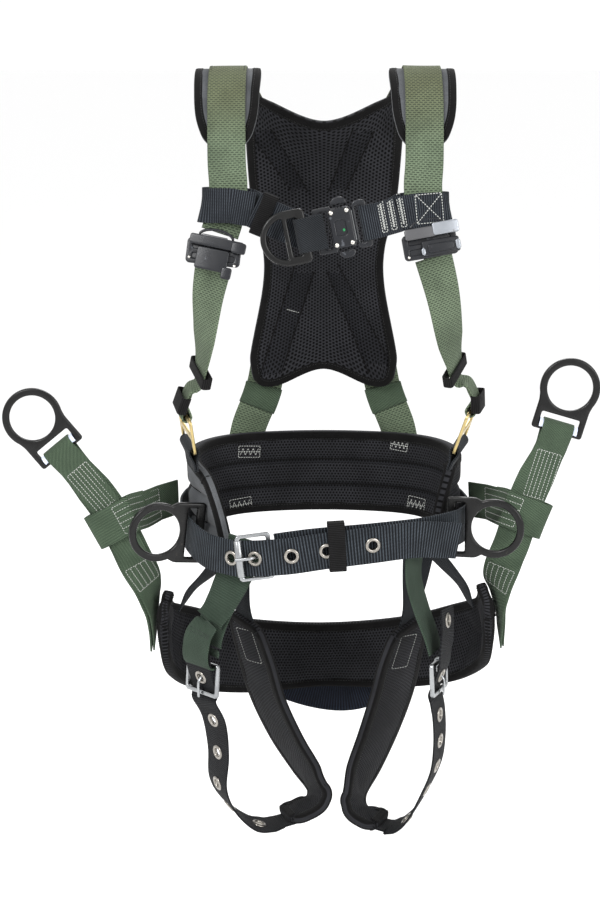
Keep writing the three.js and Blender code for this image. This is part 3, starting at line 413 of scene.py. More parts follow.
def metal(name, colour, worn, roughness, grain=(1, 1, 12), bumps=0.04, metallic=1.0, shine=0.5):
    """Plated or coated metal with faint grain, smudges and small worn places."""
    material, tree, shader = new_material(name, metallic)
    smudge = step(tree, noise(tree, 45.0, 5.0), 0.35, 0.75)
    fine = noise(tree, 350.0, 2.0, grain)
    wear = step(tree, noise(tree, 120.0, 6.0), 0.66, 0.74)
    feed(tree, mix(tree, wear, mix(tree, smudge, colour, tuple(c * 0.8 for c in colour)), worn),
         shader.inputs["Base Color"])
    rough = maths(tree, "ADD", between(tree, smudge, roughness, roughness + 0.14),
                  maths(tree, "MULTIPLY", fine, 0.08))
    feed(tree, rough, shader.inputs["Roughness"])
    bump(tree, shader, fine, bumps)
    shader.inputs["Specular IOR Level"].default_value = shine
    return material


def plastic(name, colour, roughness, translucent=0.0):
    material, tree, shader = new_material(name)
    grain = noise(tree, 1400.0, 2.0)
    smudge = step(tree, noise(tree, 60.0, 4.0), 0.3, 0.8)
    feed(tree, mix(tree, smudge, colour, tuple(c * 0.82 for c in colour)), shader.inputs["Base Color"])
    feed(tree, between(tree, smudge, roughness, roughness + 0.15), shader.inputs["Roughness"])
    bump(tree, shader, grain, 0.06)
    shader.inputs["Subsurface Weight"].default_value = translucent
    shader.inputs["Subsurface Radius"].default_value = (0.003, 0.003, 0.003)
    return material


def thread(name, colour):
    material, tree, shader = new_material(name)
    fine = noise(tree, 1800.0, 2.0)
    feed(tree, mix(tree, fine, colour, tuple(c * 0.6 for c in colour)), shader.inputs["Base Color"])
    bump(tree, shader, fine, 0.1)
    fabric(shader, 0.2, 0.7)
    return material


def shoulder_painted_light(tree):
    """Painted light: the tops of the shoulders, from 0.45 m up, drawn towards olive where the light falls on
    them.
    """
    place = tree.nodes.new("ShaderNodeTexCoord").outputs["Object"]
    split = tree.nodes.new("ShaderNodeSeparateXYZ")
    tree.links.new(place, split.inputs[0])
    return maths(tree, "MULTIPLY", step(tree, split.outputs["Z"], 0.45, 0.53), 0.55)


GREEN = (0.15, 0.195, 0.125)
GREEN_DARK = (0.018, 0.026, 0.018)
MAT = {
    # the green webbing carries painted light on the tops of the shoulders
    "green": brick_webbing("green_webbing", GREEN, GREEN_DARK, painted_light=shoulder_painted_light),
    "twill": twill_webbing("green_twill_webbing", (0.105, 0.15, 0.095), (0.018, 0.03, 0.02)),
    "leg": twill_webbing("leg_twill_webbing", (0.066, 0.098, 0.07), (0.012, 0.02, 0.014)),
    "belt": rib_webbing("belt_webbing", (0.07, 0.085, 0.1), (0.005, 0.006, 0.008)),
    "black": twill_webbing("black_webbing", (0.03, 0.034, 0.039), (0.003, 0.0035, 0.0045), 3.0),
    "band": rib_webbing("seat_band_webbing", (0.02, 0.028, 0.048), (0.004, 0.005, 0.009), 3.2),
    "tongue": rib_webbing("tongue_webbing", (0.018, 0.02, 0.023), (0.003, 0.003, 0.004), 2.6),
    "mesh": mesh_fabric("spacer_mesh", (0.024, 0.0245, 0.028), (0.0005, 0.0005, 0.0008), 3.6),
    # a darker copy of the spacer mesh: painted shade in the waist pad's grooves; on the back pad's bands a
    # finer knit, darker partly of itself and partly as painted shade
    "shade_mesh": mesh_fabric("mesh_painted_shade", (0.0165, 0.017, 0.02), (0.0004, 0.0004, 0.0006), 3.4),
    "satin": rib_webbing("chest_webbing", (0.055, 0.065, 0.076), (0.007, 0.008, 0.011), 2.6),
    "binding": grosgrain("binding_tape", (0.008, 0.0075, 0.0078), (0.002, 0.002, 0.002)),
    "grey": felt("lobe_fabric", (0.1, 0.105, 0.112), (0.045, 0.048, 0.052)),
    "forged": metal("forged_black", (0.004, 0.004, 0.004), (0.02, 0.018, 0.015), 0.2, metallic=0.0,
                    shine=0.3),
    "steel": metal("bright_steel", (0.36, 0.37, 0.38), (0.2, 0.2, 0.2), 0.2),
    "nickel": metal("grommet_nickel", (0.33, 0.31, 0.28), (0.16, 0.15, 0.13), 0.2),
    "gold": metal("gold_zinc", (0.56, 0.44, 0.2), (0.42, 0.44, 0.32), 0.22),
    "dark": metal("dark_hardware", (0.007, 0.008, 0.011), (0.06, 0.065, 0.075), 0.2, metallic=0.1,
                  shine=0.45),
    "cover": metal("adjuster_cover", (0.11, 0.11, 0.115), (0.3, 0.3, 0.3), 0.3, metallic=0.8),
    "brushed": metal("adjuster_brushed", (0.34, 0.36, 0.39), (0.2, 0.2, 0.2), 0.26, grain=(30, 1, 1)),
    "sleeve": plastic("pale_sleeve", (0.7, 0.76, 0.92), 0.3, 0.2),
    "elastic": grosgrain("elastic_tape", (0.012, 0.0115, 0.012), (0.003, 0.003, 0.003), 2.2),
    "white": thread("white_thread", (0.55, 0.56, 0.53)),
    "shade": thread("dark_thread", (0.006, 0.007, 0.007)),
    "signal": plastic("green_indicator", (0.01, 0.22, 0.06), 0.25),
    "rivet": metal("rivet_steel", (0.6, 0.58, 0.54), (0.3, 0.3, 0.3), 0.16),
}
SLOTS = {
    "green_webbing": ("green", "twill", "leg"),
    "black_webbing": ("belt", "black", "band", "tongue", "satin"),
    "pad_mesh": ("mesh", "shade_mesh", "grey"),
    "elastic": ("binding", "elastic", "white", "shade"),
    "forged_black": ("forged",),
    "bright_steel": ("steel", "nickel", "rivet"),
    "gold_zinc": ("gold",),
    "dark_hardware": ("dark", "cover", "brushed", "signal"),
    "pale_sleeve": ("sleeve",),
}
SLOT = {look: slot for slot, looks in SLOTS.items() for look in looks}


def piece(name, points, faces, look, weave=None, flat=(), body=HARNESS, stands_for=()):
    """Makes a piece, gives it its material, and hides the CAD nodes that it stands for."""
    obj = make(name, points, outward(np.asarray(points), faces), MAT[look], weave, flat, body)
    if stands_for:
        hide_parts(*stands_for)
    return obj


# ---------------------------------------------------------------- straps

class Strap:
    """Webbing along stations in millimetres, resampled to even steps."""

    def __init__(self, stations, width, thickness, pitch):
        s = np.asarray(stations, float)[:, :6]
        run = distances(s[:, :3])
        fine = np.linspace(0, run[-1], max(8, round(run[-1])) + 1)
        even = np.array([np.interp(fine, run, s[:, k]) for k in range(6)]).T
        for _ in range(EASED):
            even[1:-1] = (even[:-2] + 2 * even[1:-1] + even[2:]) / 4
        self.length = run[-1]
        count = max(2, round(self.length / pitch))
        self.s = np.linspace(0, self.length, count + 1)
        even = np.array([np.interp(self.s, fine, even[:, k]) for k in range(6)]).T
        self.point, self.along, self.across, self.out = frames(even)
        self.width, self.thickness = width, thickness

    def near(self, point):
        """How far along the strap comes nearest to a point."""
        return self.s[np.argmin(np.linalg.norm(self.point - point, axis=1))]

    def pick(self, s, field):
        return np.array([np.interp(s, self.s, field[:, k]) for k in range(3)])

    def at(self, s, u=0.0):
        """A point of the strap's face, s along it and u across it, with the way out there."""
        out = unit(self.pick(s, self.out))
        return self.pick(s, self.point) + self.pick(s, self.across) * u + out * self.thickness / 2, out

    def mesh(self, pitch=5.0, ripple=0.22, holes=(), hole_radius=7.2, seed=0.0, taper=None):
        """Points, faces and cloth places. holes are distances along the strap of its grommet holes, and
        taper is (s, s, share): where the strap starts to narrow, where it stops, and how far it gets."""
        t = self.thickness / 2
        reach = self.width / 2 - 0.8 * t
        columns = max(4, 2 * round(reach / pitch))
        line = np.linspace(-reach, reach, columns + 1)
        edge = [(0.6, 0.8), (0.8, 0.0), (0.6, -0.8)]
        section = [(u, t) for u in line] + [(reach + a * t, b * t) for a, b in edge]
        section += [(u, -t) for u in line[::-1]] + [(-reach - a * t, b * t) for a, b in edge[::-1]]
        u, v = np.array(section).T
        wander = np.sin(self.s / 31 + seed) + 0.6 * np.sin(self.s / 13 + 2 * seed)
        cup = ripple * np.outer(wander, (2 * u / self.width) ** 2)
        roll = ripple * 0.8 * np.outer(np.sin(self.s / 23 + 3 * seed), 2 * u / self.width)
        height = v[None, :] + cup + roll
        narrow = np.interp(self.s, taper[:2], (1, taper[2])) if taper else np.ones(len(self.s))
        rings = (self.point[:, None] + self.across[:, None] * (narrow[:, None] * u[None, :])[:, :, None]
                 + self.out[:, None] * height[:, :, None])
        weave = np.dstack(np.broadcast_arrays(u, self.s[:, None], height)[:2])
        points, faces = skin(rings)
        if holes:
            faces = self.opened(faces, line, len(section), holes, hole_radius)
        return points, faces, weave.reshape(-1, 2)

    def opened(self, faces, line, around, holes, radius):
        """Takes the faces round each hole away, on both sides, and walls the gap."""
        columns = len(line) - 1
        back = 2 * columns + 4  # the last column's place on the under side

        def gone(i, j):
            if not (0 <= i < len(self.s) - 1 and 0 <= j < columns):
                return False
            middle = (self.s[i] + self.s[i + 1]) / 2
            across = (line[j] + line[j + 1]) / 2
            return any(math.hypot(middle - h, across) < radius for h in holes)

        kept = []
        for number, face in enumerate(faces[:-2]):
            i, k = divmod(number, around)
            j = k if k < columns else back - k
            under = columns + 4 <= k < 2 * columns + 4
            if (k < columns or under) and gone(i, j):
                continue
            kept.append(face)
        for i in range(len(self.s) - 1):
            for j in range(columns):
                if not gone(i, j):
                    continue
                for di, dj, a, b in ((-1, 0, (i, j), (i, j + 1)), (1, 0, (i + 1, j + 1), (i + 1, j)),
                                     (0, -1, (i + 1, j), (i, j)), (0, 1, (i, j + 1), (i + 1, j + 1))):
                    if not gone(i + di, j + dj):
                        top = [c * around + d for c, d in (a, b)]
                        low = [c * around + back + 1 - d for c, d in (b, a)]
                        kept.append((*top, *low))
        return kept + list(faces[-2:])


def strap(name, stations, look, width=WEB, thickness=WEB_T, stands_for=(), holes=(), pitch=3.0, seed=0.0,
          ripple=0.22, taper=None):
    """A piece of webbing through stations. holes are the numbers of the stations with grommets, and taper
    is (point, start, stop, share): it narrows to a share of its width from start to stop before a point."""
    stations = np.asarray(stations, float)
    run = Strap(stations, width, thickness, 2.5 if holes else pitch)
    spots = list(distances(stations[:, :3])[list(holes)])
    if taper:
        place, start, stop, share = taper
        taper = (run.near(place) - start, run.near(place) - stop, share)
    points, faces, weave = run.mesh(2.5 if holes else 5.0, ripple, spots, seed=seed, taper=taper)
    piece(name, points, faces, look, weave, stands_for=stands_for)
    for number, spot in enumerate(spots):
        grommet(f"{name}_grommet_{number}", run, spot)
    return run


def bead(a, b, normal, radius):
    """One stitch: a short flattened bead of thread from a to b."""
    along = unit(b - a)
    side = np.cross(along, normal)
    rings = []
    for share, size in ((0, 0.45), (0.2, 1), (0.8, 1), (1, 0.45)):
        centre = a + (b - a) * share - normal * radius * 0.5 * (1 - size)
        rings.append([centre + radius * size * (side * math.cos(t) + 0.75 * normal * math.sin(t))
                      for t in np.arange(6) * math.pi / 3])
    return skin(rings)


def dashes(first, last, pitch, length):
    """The two ends of each stitch along a flat line."""
    (x0, y0), (x1, y1) = first, last
    count = max(1, round(math.hypot(x1 - x0, y1 - y0) / pitch))
    for i in range(count):
        shares = ((i + 0.5 + end * length / pitch / 2) / count for end in (-1, 1))
        yield [(x0 + (x1 - x0) * share, y0 + (y1 - y0) * share) for share in shares]


def sew(name, run, lines, look="white", pitch=STITCH_PITCH, length=STITCH_LENGTH, face=1):
    """Rows of stitches on a strap. A line is ((s, u), (s, u)) on its face, or its back where face is -1."""
    parts = []
    for line in lines:
        for stitch in dashes(*line, pitch, length):
            ends = []
            for s, u in stitch:
                point, out = run.at(s, u * face)
                ends.append(point if face > 0 else point - out * run.thickness)
            parts.append(bead(*ends, out * face, STITCH_R))
    points, faces = joined(parts)
    return piece(name, points, faces, look)


def box_lines(s0, s1, half, rows=0):
    """The lines of a sewn box from s0 to s1, with extra rows along it."""
    lines = [((s0, -half), (s1, -half)), ((s0, half), (s1, half))]
    lines += [((s, -half), (s, half)) for s in (s0, s1)]
    for i in range(1, rows + 1):
        u = half * (2 * i / (rows + 1) - 1)
        lines.append(((s0, u), (s1, u)))
    return lines


def edge_rows(run, s0, s1, inset=2.6):
    half = run.width / 2 - inset
    return [((s0, -half), (s1, -half)), ((s0, half), (s1, half))]


def front_of(run, s):
    """1 where a strap's face looks forward at s, and -1 where its back does."""
    return 1 if run.at(s)[1][1] < 0 else -1


def overlay(name, run, s0, s1, lift, look, width=WEB, ends=0.0):
    """A second layer of webbing on the forward side of a strap from s0 to s1."""
    stations = []
    for s in np.linspace(s0, s1, max(4, round(abs(s1 - s0) / 4))):
        point, out = run.at(s)
        side = front_of(run, s)
        rise = lift - ends * (abs(2 * (s - s0) / (s1 - s0) - 1) ** 4)
        under = 0 if side > 0 else run.thickness
        stations.append([*(point + out * side * rise - out * under), *run.pick(s, run.across)])
    return strap(name, stations, look, width, pitch=2)


def sew_box(name, run, s0, s1, half, rows=0):
    """A sewn box on the forward side of a strap."""
    sew(name, run, box_lines(s0, s1, half, rows), face=front_of(run, (s0 + s1) / 2))


def on(*names):
    """The surface of pieces already made, to sew on."""
    return target(*(bpy.data.objects[name] for name in names))


def grommet(name, run, s):
    """A rolled metal eyelet through a strap."""
    centre, out = run.at(s)
    centre = centre - out * run.thickness / 2
    x = square_to([0.3, 0.5, 0.8], out)
    y = np.cross(out, x)
    t = run.thickness / 2
    lip = [(0.1, 0.6), (0.8, 1.3), (2, 1.5), (3.2, 1.1), (4.2, 0.3), (4.1, -0.1), (1.2, -0.2)]
    half = [(GROMMET_R, 0), *((GROMMET_R + r, t + h) for r, h in lip)]
    profile = half + [(r, -h) for r, h in half[:0:-1]]
    rings = []
    for a in np.linspace(0, 2 * math.pi, 29)[:-1]:
        way = x * math.cos(a) + y * math.sin(a)
        rings.append([centre + way * r + out * h for r, h in profile])
    points, faces = skin(rings, closed=True)
    return piece(name, points, faces, "nickel")


# ---------------------------------------------------------------- bands, rods and plates

def band(name, point, across, out, width, depth, length, wall, look, body=HARNESS, stands_for=()):
    """A flat loop of tape: round a strap, open at both ends."""
    across = unit(across)
    out = square_to(out, across)
    along = np.cross(across, out)
    half_x, half_y = width / 2 + wall / 2, depth / 2 + wall / 2
    loop = np.array(rounded(-half_x, -half_y, half_x, half_y, 3.2, 5))
    way = np.roll(loop, -1, axis=0) - np.roll(loop, 1, axis=0)
    normal = np.stack([way[:, 1], -way[:, 0]], axis=1) / np.linalg.norm(way, axis=1)[:, None]
    run = np.concatenate([[0], np.cumsum(np.linalg.norm(np.diff(loop, axis=0), axis=1))])
    section = [(length * (i / 6 - 0.5), wall / 2) for i in range(7)]
    section += [(length / 2 + 0.35, 0)] + [(-a, -b) for a, b in section] + [(-length / 2 - 0.35, 0)]
    rings, weave = [], []
    for (x, y), (nx, ny), s in zip(loop, normal, run):
        rings.append([np.asarray(point) + across * (x + nx * h) + out * (y + ny * h) + along * a
                      for a, h in section])
        weave += [(a, s) for a, h in section]
    points, faces = skin(rings, closed=True)
    return piece(name, points, faces, look, weave, body=body, stands_for=stands_for)


def rod(path, radius, sides=12, squash=1.0):
    """Points and faces of a round bar along a path, with its ends rounded in."""
    path = np.asarray(path, float)
    along = np.gradient(path, axis=0)
    rings = []
    sizes = np.ones(len(path))
    sizes[[0, -1]] = 0.7
    for p, a, size in zip(path, along, sizes):
        a = unit(a)
        x = square_to(UP, a)
        y = np.cross(a, x)
        rings.append([p + size * radius * (x * math.cos(t) * squash + y * math.sin(t))
                      for t in np.arange(sides) * 2 * math.pi / sides])
    return skin(rings)


def arc(x, y, r, start, end, count=16):
    """Points of an arc, in degrees, both ends included."""
    return [(x + r * math.cos(math.radians(a)), y + r * math.sin(math.radians(a)))
            for a in np.linspace(start, end, count)]


def rounded(x0, y0, x1, y1, r, count=8):
    """A rectangle with rounded corners, anticlockwise."""
    return (arc(x1 - r, y0 + r, r, -90, 0, count) + arc(x1 - r, y1 - r, r, 0, 90, count)
            + arc(x0 + r, y1 - r, r, 90, 180, count) + arc(x0 + r, y0 + r, r, 180, 270, count))


def inset(loop, distance):
    """A closed loop moved to its left by a distance, with mitred corners."""
    p = np.asarray(loop, float)
    way = np.roll(p, -1, axis=0) - p
    way /= np.linalg.norm(way, axis=1)[:, None]
    left = np.stack([-way[:, 1], way[:, 0]], axis=1)
    before = np.roll(left, 1, axis=0)
    share = 1 + np.sum(left * before, axis=1)
    return p + distance * (left + before) / np.maximum(share, 0.4)[:, None]


def flat_plate(loops, thickness, bevel, steps=4):
    """A plate drawn in X and Y with rounded edges: an anticlockwise outline, then clockwise holes.
    Gives its points, its faces and the numbers of its flat faces."""
    loops = [np.asarray(loop, float)[np.linalg.norm(np.diff(loop, axis=0, append=loop[:1]), axis=1) > 1e-4]
             for loop in (np.asarray(x, float) for x in loops)]
    levels = []
    for k in range(steps + 1):
        a = math.pi / 2 * k / steps
        levels.append((bevel * (1 - math.sin(a)), -thickness / 2 + bevel * (1 - math.cos(a))))
    levels += [(pull, -z) for pull, z in levels[::-1]]
    points, faces, first, last = [], [], [], []
    base = 0
    for loop in loops:
        count = len(loop)
        for pull, z in levels:
            points += [(x, y, z) for x, y in inset(loop, pull)]
        for i in range(len(levels) - 1):
            for k in range(count):
                n = (k + 1) % count
                a, b = base + i * count, base + (i + 1) * count
                faces.append((a + k, a + n, b + n, b + k))
        first += list(range(base, base + count))
        last += list(range(base + (len(levels) - 1) * count, base + len(levels) * count))
        base += len(levels) * count
    drawn = [[Vector((*p, 0)) for p in inset(loop, bevel)] for loop in loops]
    start = len(faces)
    for a, b, c in tessellate_polygon(drawn):
        p, q, r = (np.asarray(points[last[i]][:2]) for i in (a, b, c))
        turn = (q[0] - p[0]) * (r[1] - p[1]) - (q[1] - p[1]) * (r[0] - p[0])
        a, c = (a, c) if turn > 0 else (c, a)
        faces.append((last[a], last[b], last[c]))
        faces.append((first[c], first[b], first[a]))
    return np.array(points, float), faces, range(start, len(faces))


def placed(points, origin, x_axis, y_axis):
    x = unit(x_axis)
    y = square_to(y_axis, x)
    return np.asarray(origin, float) + np.asarray(points, float) @ np.array([x, y, np.cross(x, y)])


def plate(name, loops, thickness, bevel, origin, x_axis, y_axis, look, body=HARNESS, stands_for=()):
    points, faces, flat = flat_plate(loops, thickness, bevel)
    points = placed(points, origin, x_axis, y_axis)
    obj = piece(name, points, faces, look, flat=flat, body=body, stands_for=stands_for)
    obj.data.set_sharp_from_angle(angle=math.radians(40))
    return obj


def revolve(profile, sides=24):
    """A closed profile of (radius, height) turned about Z."""
    rings = [[(r * math.cos(a), r * math.sin(a), h) for r, h in profile]
             for a in np.arange(sides) * 2 * math.pi / sides]
    return skin(rings, closed=True)


def rivet(name, origin, x_axis, y_axis, radius, height):
    """A low domed head."""
    rings = []
    for a in np.linspace(90, 8, 6):
        r, h = radius * math.cos(math.radians(a)), height * math.sin(math.radians(a))
        rings.append([(r * math.cos(t) + 1e-3, r * math.sin(t), h) for t in np.arange(14) * math.pi / 7])
    rings.append([(radius * math.cos(t), radius * math.sin(t), -0.6) for t in np.arange(14) * math.pi / 7])
    points, faces = skin(rings)
    return piece(name, placed(points, origin, x_axis, y_axis), faces, "rivet")


# ---------------------------------------------------------------- pads

def grid_of(rows, across_steps, along_steps):
    """A smooth sheet of points through rows of points: grid[across][along]."""
    dense = np.array([catmull(row, across_steps) for row in rows])
    return np.array([catmull(dense[:, k], along_steps) for k in range(dense.shape[1])])


def sheet_normals(grid):
    du, dv = np.gradient(grid, axis=0), np.gradient(grid, axis=1)
    normal = np.cross(du, dv)
    return normal / np.linalg.norm(normal, axis=2)[:, :, None]


def quilt(name, grid, thickness, look, stands_for=(), sewn=None, lining=None, round_off=9.0, puff=0.0,
          lean=0.0):
    """A padded sheet: full in the middle, thinner at its rim and pulled in where sewn is 1.
    Its cloth then settles round the filling, held at the rim and the seams."""
    normal = sheet_normals(grid)
    nu, nv = grid.shape[:2]
    u = distances(grid[:, nv // 2])
    v = distances(grid[nu // 2])
    uu, vv = np.meshgrid(u - u[-1] / 2, v, indexing="ij")
    edge = np.minimum(np.minimum(uu - uu[0, 0], uu[-1, 0] - uu), np.minimum(vv, v[-1] - vv))
    share = np.clip(edge / round_off, 0, 1)
    depth = thickness / 2 * (PAD_RIM + (1 - PAD_RIM) * np.sqrt(1 - (1 - share) ** 2))
    seams = np.zeros_like(uu) if sewn is None else sewn
    depth = depth * (1 - 0.7 * seams)
    creases = 0.3 * np.sin(uu / 9 + vv / 14 + lean) * np.sin(vv / 11 - uu / 17) * share
    sides = [grid + normal * (sign * depth + creases)[:, :, None] for sign in (-1, 1)]
    points = np.vstack([side.reshape(-1, 3) for side in sides])
    cloth = np.vstack([np.dstack([uu, vv]).reshape(-1, 2)] * 2)
    top = nu * nv
    faces = []
    for i in range(nu - 1):
        for j in range(nv - 1):
            a = i * nv + j
            faces.append((a, a + 1, a + nv + 1, a + nv))
            faces.append((top + a, top + a + nv, top + a + nv + 1, top + a + 1))
    ring = rim_of(nu, nv)
    for a, b in zip(ring, ring[1:] + ring[:1]):
        faces.append((a, b, b + top, a + top))
    obj = piece(name, points, faces, look, cloth, stands_for=stands_for)
    if lining:
        obj.data.materials.append(MAT[lining])
        for polygon in obj.data.polygons[:2 * (nu - 1) * (nv - 1)]:
            polygon.material_index = int(polygon.index % 2)
    held = np.concatenate([np.maximum(1 - share, seams).ravel()] * 2)
    settle(obj, held, puff)
    return obj


def settle(obj, held, pressure):
    """Lets a pad's cloth find its shape under its filling. held is 1 where it is sewn down."""
    if not pressure:
        return
    group = obj.vertex_groups.new(name="held")
    for i, weight in enumerate(held):
        group.add([i], float(np.clip(weight, 0, 1)), "REPLACE")
    modifier = obj.modifiers.new("cloth", "CLOTH")
    cloth = modifier.settings
    cloth.quality = 5
    cloth.mass = 0.2
    cloth.tension_stiffness = 12
    cloth.compression_stiffness = 12
    cloth.shear_stiffness = 6
    cloth.bending_stiffness = 1.5
    cloth.use_pressure = True
    cloth.uniform_pressure_force = pressure
    cloth.vertex_group_mass = "held"
    cloth.effector_weights.gravity = 0
    modifier.collision_settings.use_collision = False
    scene = bpy.context.scene
    modifier.point_cache.frame_start = 1
    modifier.point_cache.frame_end = CLOTH_FRAMES
    for number in range(1, CLOTH_FRAMES + 1):
        scene.frame_set(number)
    shown = obj.evaluated_get(bpy.context.evaluated_depsgraph_get())
    count = len(obj.data.vertices)
    before, after = np.empty(count * 3), np.empty(count * 3)
    obj.data.vertices.foreach_get("co", before)
    shown.data.vertices.foreach_get("co", after)
    move = (after - before).reshape(-1, 3)
    size = np.linalg.norm(move, axis=1)[:, None]
    move *= np.minimum(1, MOST_PUFF * MM / np.maximum(size, 1e-9))
    obj.modifiers.remove(modifier)
    obj.vertex_groups.remove(group)
    obj.data.vertices.foreach_set("co", before + move.ravel())
    obj.data.update()
    scene.frame_set(1)


def rim_of(nu, nv):
    """The numbers of a grid's rim points, in order round it."""
    ring = [i * nv for i in range(nu - 1)]
    ring += [(nu - 1) * nv + j for j in range(nv - 1)]
    ring += [i * nv + nv - 1 for i in range(nu - 1, 0, -1)]
    return ring + list(range(nv - 1, 0, -1))


def binding(name, path, inward, normal, thickness, width, closed):
    """Tape folded over a pad's rim, with a row of stitches near its inner edge."""
    path, inward, normal = (np.asarray(x, float) for x in (path, inward, normal))
    section = []
    half = thickness / 2 + BINDING_T
    for share in np.linspace(1, 0.25, 5):
        section.append((width * share, half * (0.9 + 0.1 * math.sin(share * 3))))
    for a in range(60, -61, -30):
        section.append((-1.2 * math.cos(math.radians(a)) + 1.2, half * math.sin(math.radians(a))))
    section += [(x, -y) for x, y in section[:5][::-1]]
    run = distances(path)
    rings, weave = [], []
    for p, i, n, s in zip(path, inward, normal, run):
        rings.append([p + i * a + n * b for a, b in section])
        weave += [(a, s) for a, b in section]
    points, faces = skin(rings, closed=closed)
    piece(name, points, faces, "binding", weave)
    parts = []
    pitch = 3.6
    even = np.arange(pitch, run[-1] - pitch, pitch)
    for side in (-1, 1):
        line = path + inward * (width - 2.2) + normal * side * half
        for s in even:
            a, b = (np.array([np.interp(t, run, line[:, k]) for k in range(3)]) for t in (s - 1.1, s + 1.1))
            n = unit([np.interp(s, run, normal[:, k]) for k in range(3)]) * side
            parts.append(bead(a, b, n, 0.38))
    points, faces = joined(parts)
    piece(f"{name}_stitches", points, faces, "shade")


def bind_grid(name, grid, thickness, width, kept=None):
    """Binding round a grid's rim, or only along the kept run of its rim points, from one to another."""
    nu, nv = grid.shape[:2]
    normal = sheet_normals(grid).reshape(-1, 3)
    flat = grid.reshape(-1, 3)
    ring = rim_of(nu, nv)
    if kept:
        first, last = (round(share * len(ring)) for share in kept)
        ring = [ring[i % len(ring)] for i in range(first, last)]
    inner = []
    for r in ring:
        i, j = divmod(r, nv)
        inner.append(min(max(i, 1), nu - 2) * nv + min(max(j, 1), nv - 2))
    path = flat[ring]
    way = np.roll(path, -1, axis=0) - np.roll(path, 1, axis=0)
    way /= np.linalg.norm(way, axis=1)[:, None]
    inward = np.cross(normal[ring], way)
    flip = np.sign(np.sum(inward * (flat[inner] - path), axis=1))
    inward = inward * np.where(flip == 0, 1, flip)[:, None]
    binding(name, path, inward, normal[ring], thickness, width, closed=not kept)


# ---------------------------------------------------------------- where everything is
# A station of a strap is [x, y, z, ax, ay, az, width]: a point of its centre line, the way across
# it, and its width where that changes. "left" and "right" are as seen from the front.

SHOULDER = [
    [-58, 96, 425, 0.9, 0.1, 0.35, 66],
    [-80, 84, 462, 0.92, 0.12, 0.3, 72],
    [-100, 62, 500, 0.96, 0.1, 0.2, 76],
    [-113, 32, 528, 1, 0.03, 0.08, 79],
    [-116, -2, 538, 1, 0, 0, 79],
    [-117, -34, 520, 1, 0, 0, 78],
    [-117, -58, 488, 1, 0, 0, 72],
    [-115, -71, 452, 1, 0, 0, 48],
]
BACK_ROWS = [  # the left half of each row of the back pad, from its feet up to its neckline
    [[-98, 104, 139], [-60, 111, 136], [0, 116, 157]],
    [[-92, 106, 184], [-46, 113, 182], [0, 116, 188]],
    [[-77, 108, 264], [-38, 114, 264], [0, 116, 264]],
    [[-77, 108, 312], [-38, 114, 312], [0, 116, 312]],
    [[-90, 104, 365], [-46, 112, 365], [0, 115, 365]],
    [[-96, 92, 430], [-50, 103, 430], [0, 106, 424]],
    [[-98, 32, 522], [-66, 68, 499], [0, 87, 473]],
]
LEFT_HIP = {"upper": [-170, -56, 131], "lower": [-165, -45, 90], "across": [0.3, -0.93, -0.21]}
RIGHT_HIP = {"upper": [179, -58, 138], "lower": [164, -45, 90], "across": [0.3, 0.95, 0.16]}
LEFT_FRONT = [
    [-131, -112, 322, 0.93, -0.3, 0],
    [-138, -106, 283, 0.8, -0.58, 0],
    [-142, -96, 243, 0.6, -0.78, -0.03],
    [-146, -83, 204, 0.42, -0.9, -0.1],
    [-153, -70, 172, 0.33, -0.93, -0.18],
]
RIGHT_FRONT = [
    [126, -112, 331, 0.97, 0.2, 0],
    [138, -106, 285, 0.88, 0.47, 0],
    [146, -97, 240, 0.72, 0.68, 0],
    [153, -84, 205, 0.5, 0.86, 0.05],
    [159, -71, 178, 0.36, 0.92, 0.1],
]
CHEST_X = [0.98, -0.02, 0.2]
CHEST_UP = [-0.2, 0.1, 0.975]
BUCKLE_C = [13, -130, 366]
CHEST_LEAN = [0.19, 0.21, 0.96]
CHEST_LOOP = [
    [-84, -116.5, 386.5],
    [-112, -115.5, 391],
    [-137, -114, 391],
    [-144, -111, 391],
    [-145.5, -107.5, 391],
    [-144, -104, 391],
    [-137, -100.5, 391],
    [-112, -97, 391],
    [-90, -98.5, 389],
    [-80, -110.5, 385],
]
WAIST_ROWS = [
    [[-142, -52, 55], [-126, -70, 10], [-113, -81, -46]],
    [[-158, -18, 64], [-142, -36, 10], [-132, -48, -46]],
    [[-165, 25, 68], [-164, 20, 12], [-160, 15, -44]],
    [[-150, 70, 72], [-151, 70, 19], [-149, 68, -36]],
    [[-112, 98, 75], [-113, 99, 22], [-112, 98, -30]],
    [[-40, 113, 76], [-40, 115, 24], [-40, 113, -28]],
    [[40, 113, 76], [40, 115, 24], [40, 113, -28]],
    [[112, 98, 75], [113, 99, 22], [112, 98, -30]],
    [[150, 70, 72], [151, 70, 19], [149, 68, -36]],
    [[165, 25, 68], [164, 20, 12], [158, 12, -44]],
    [[157, -16, 63], [141, -34, 10], [134, -44, -40]],
]
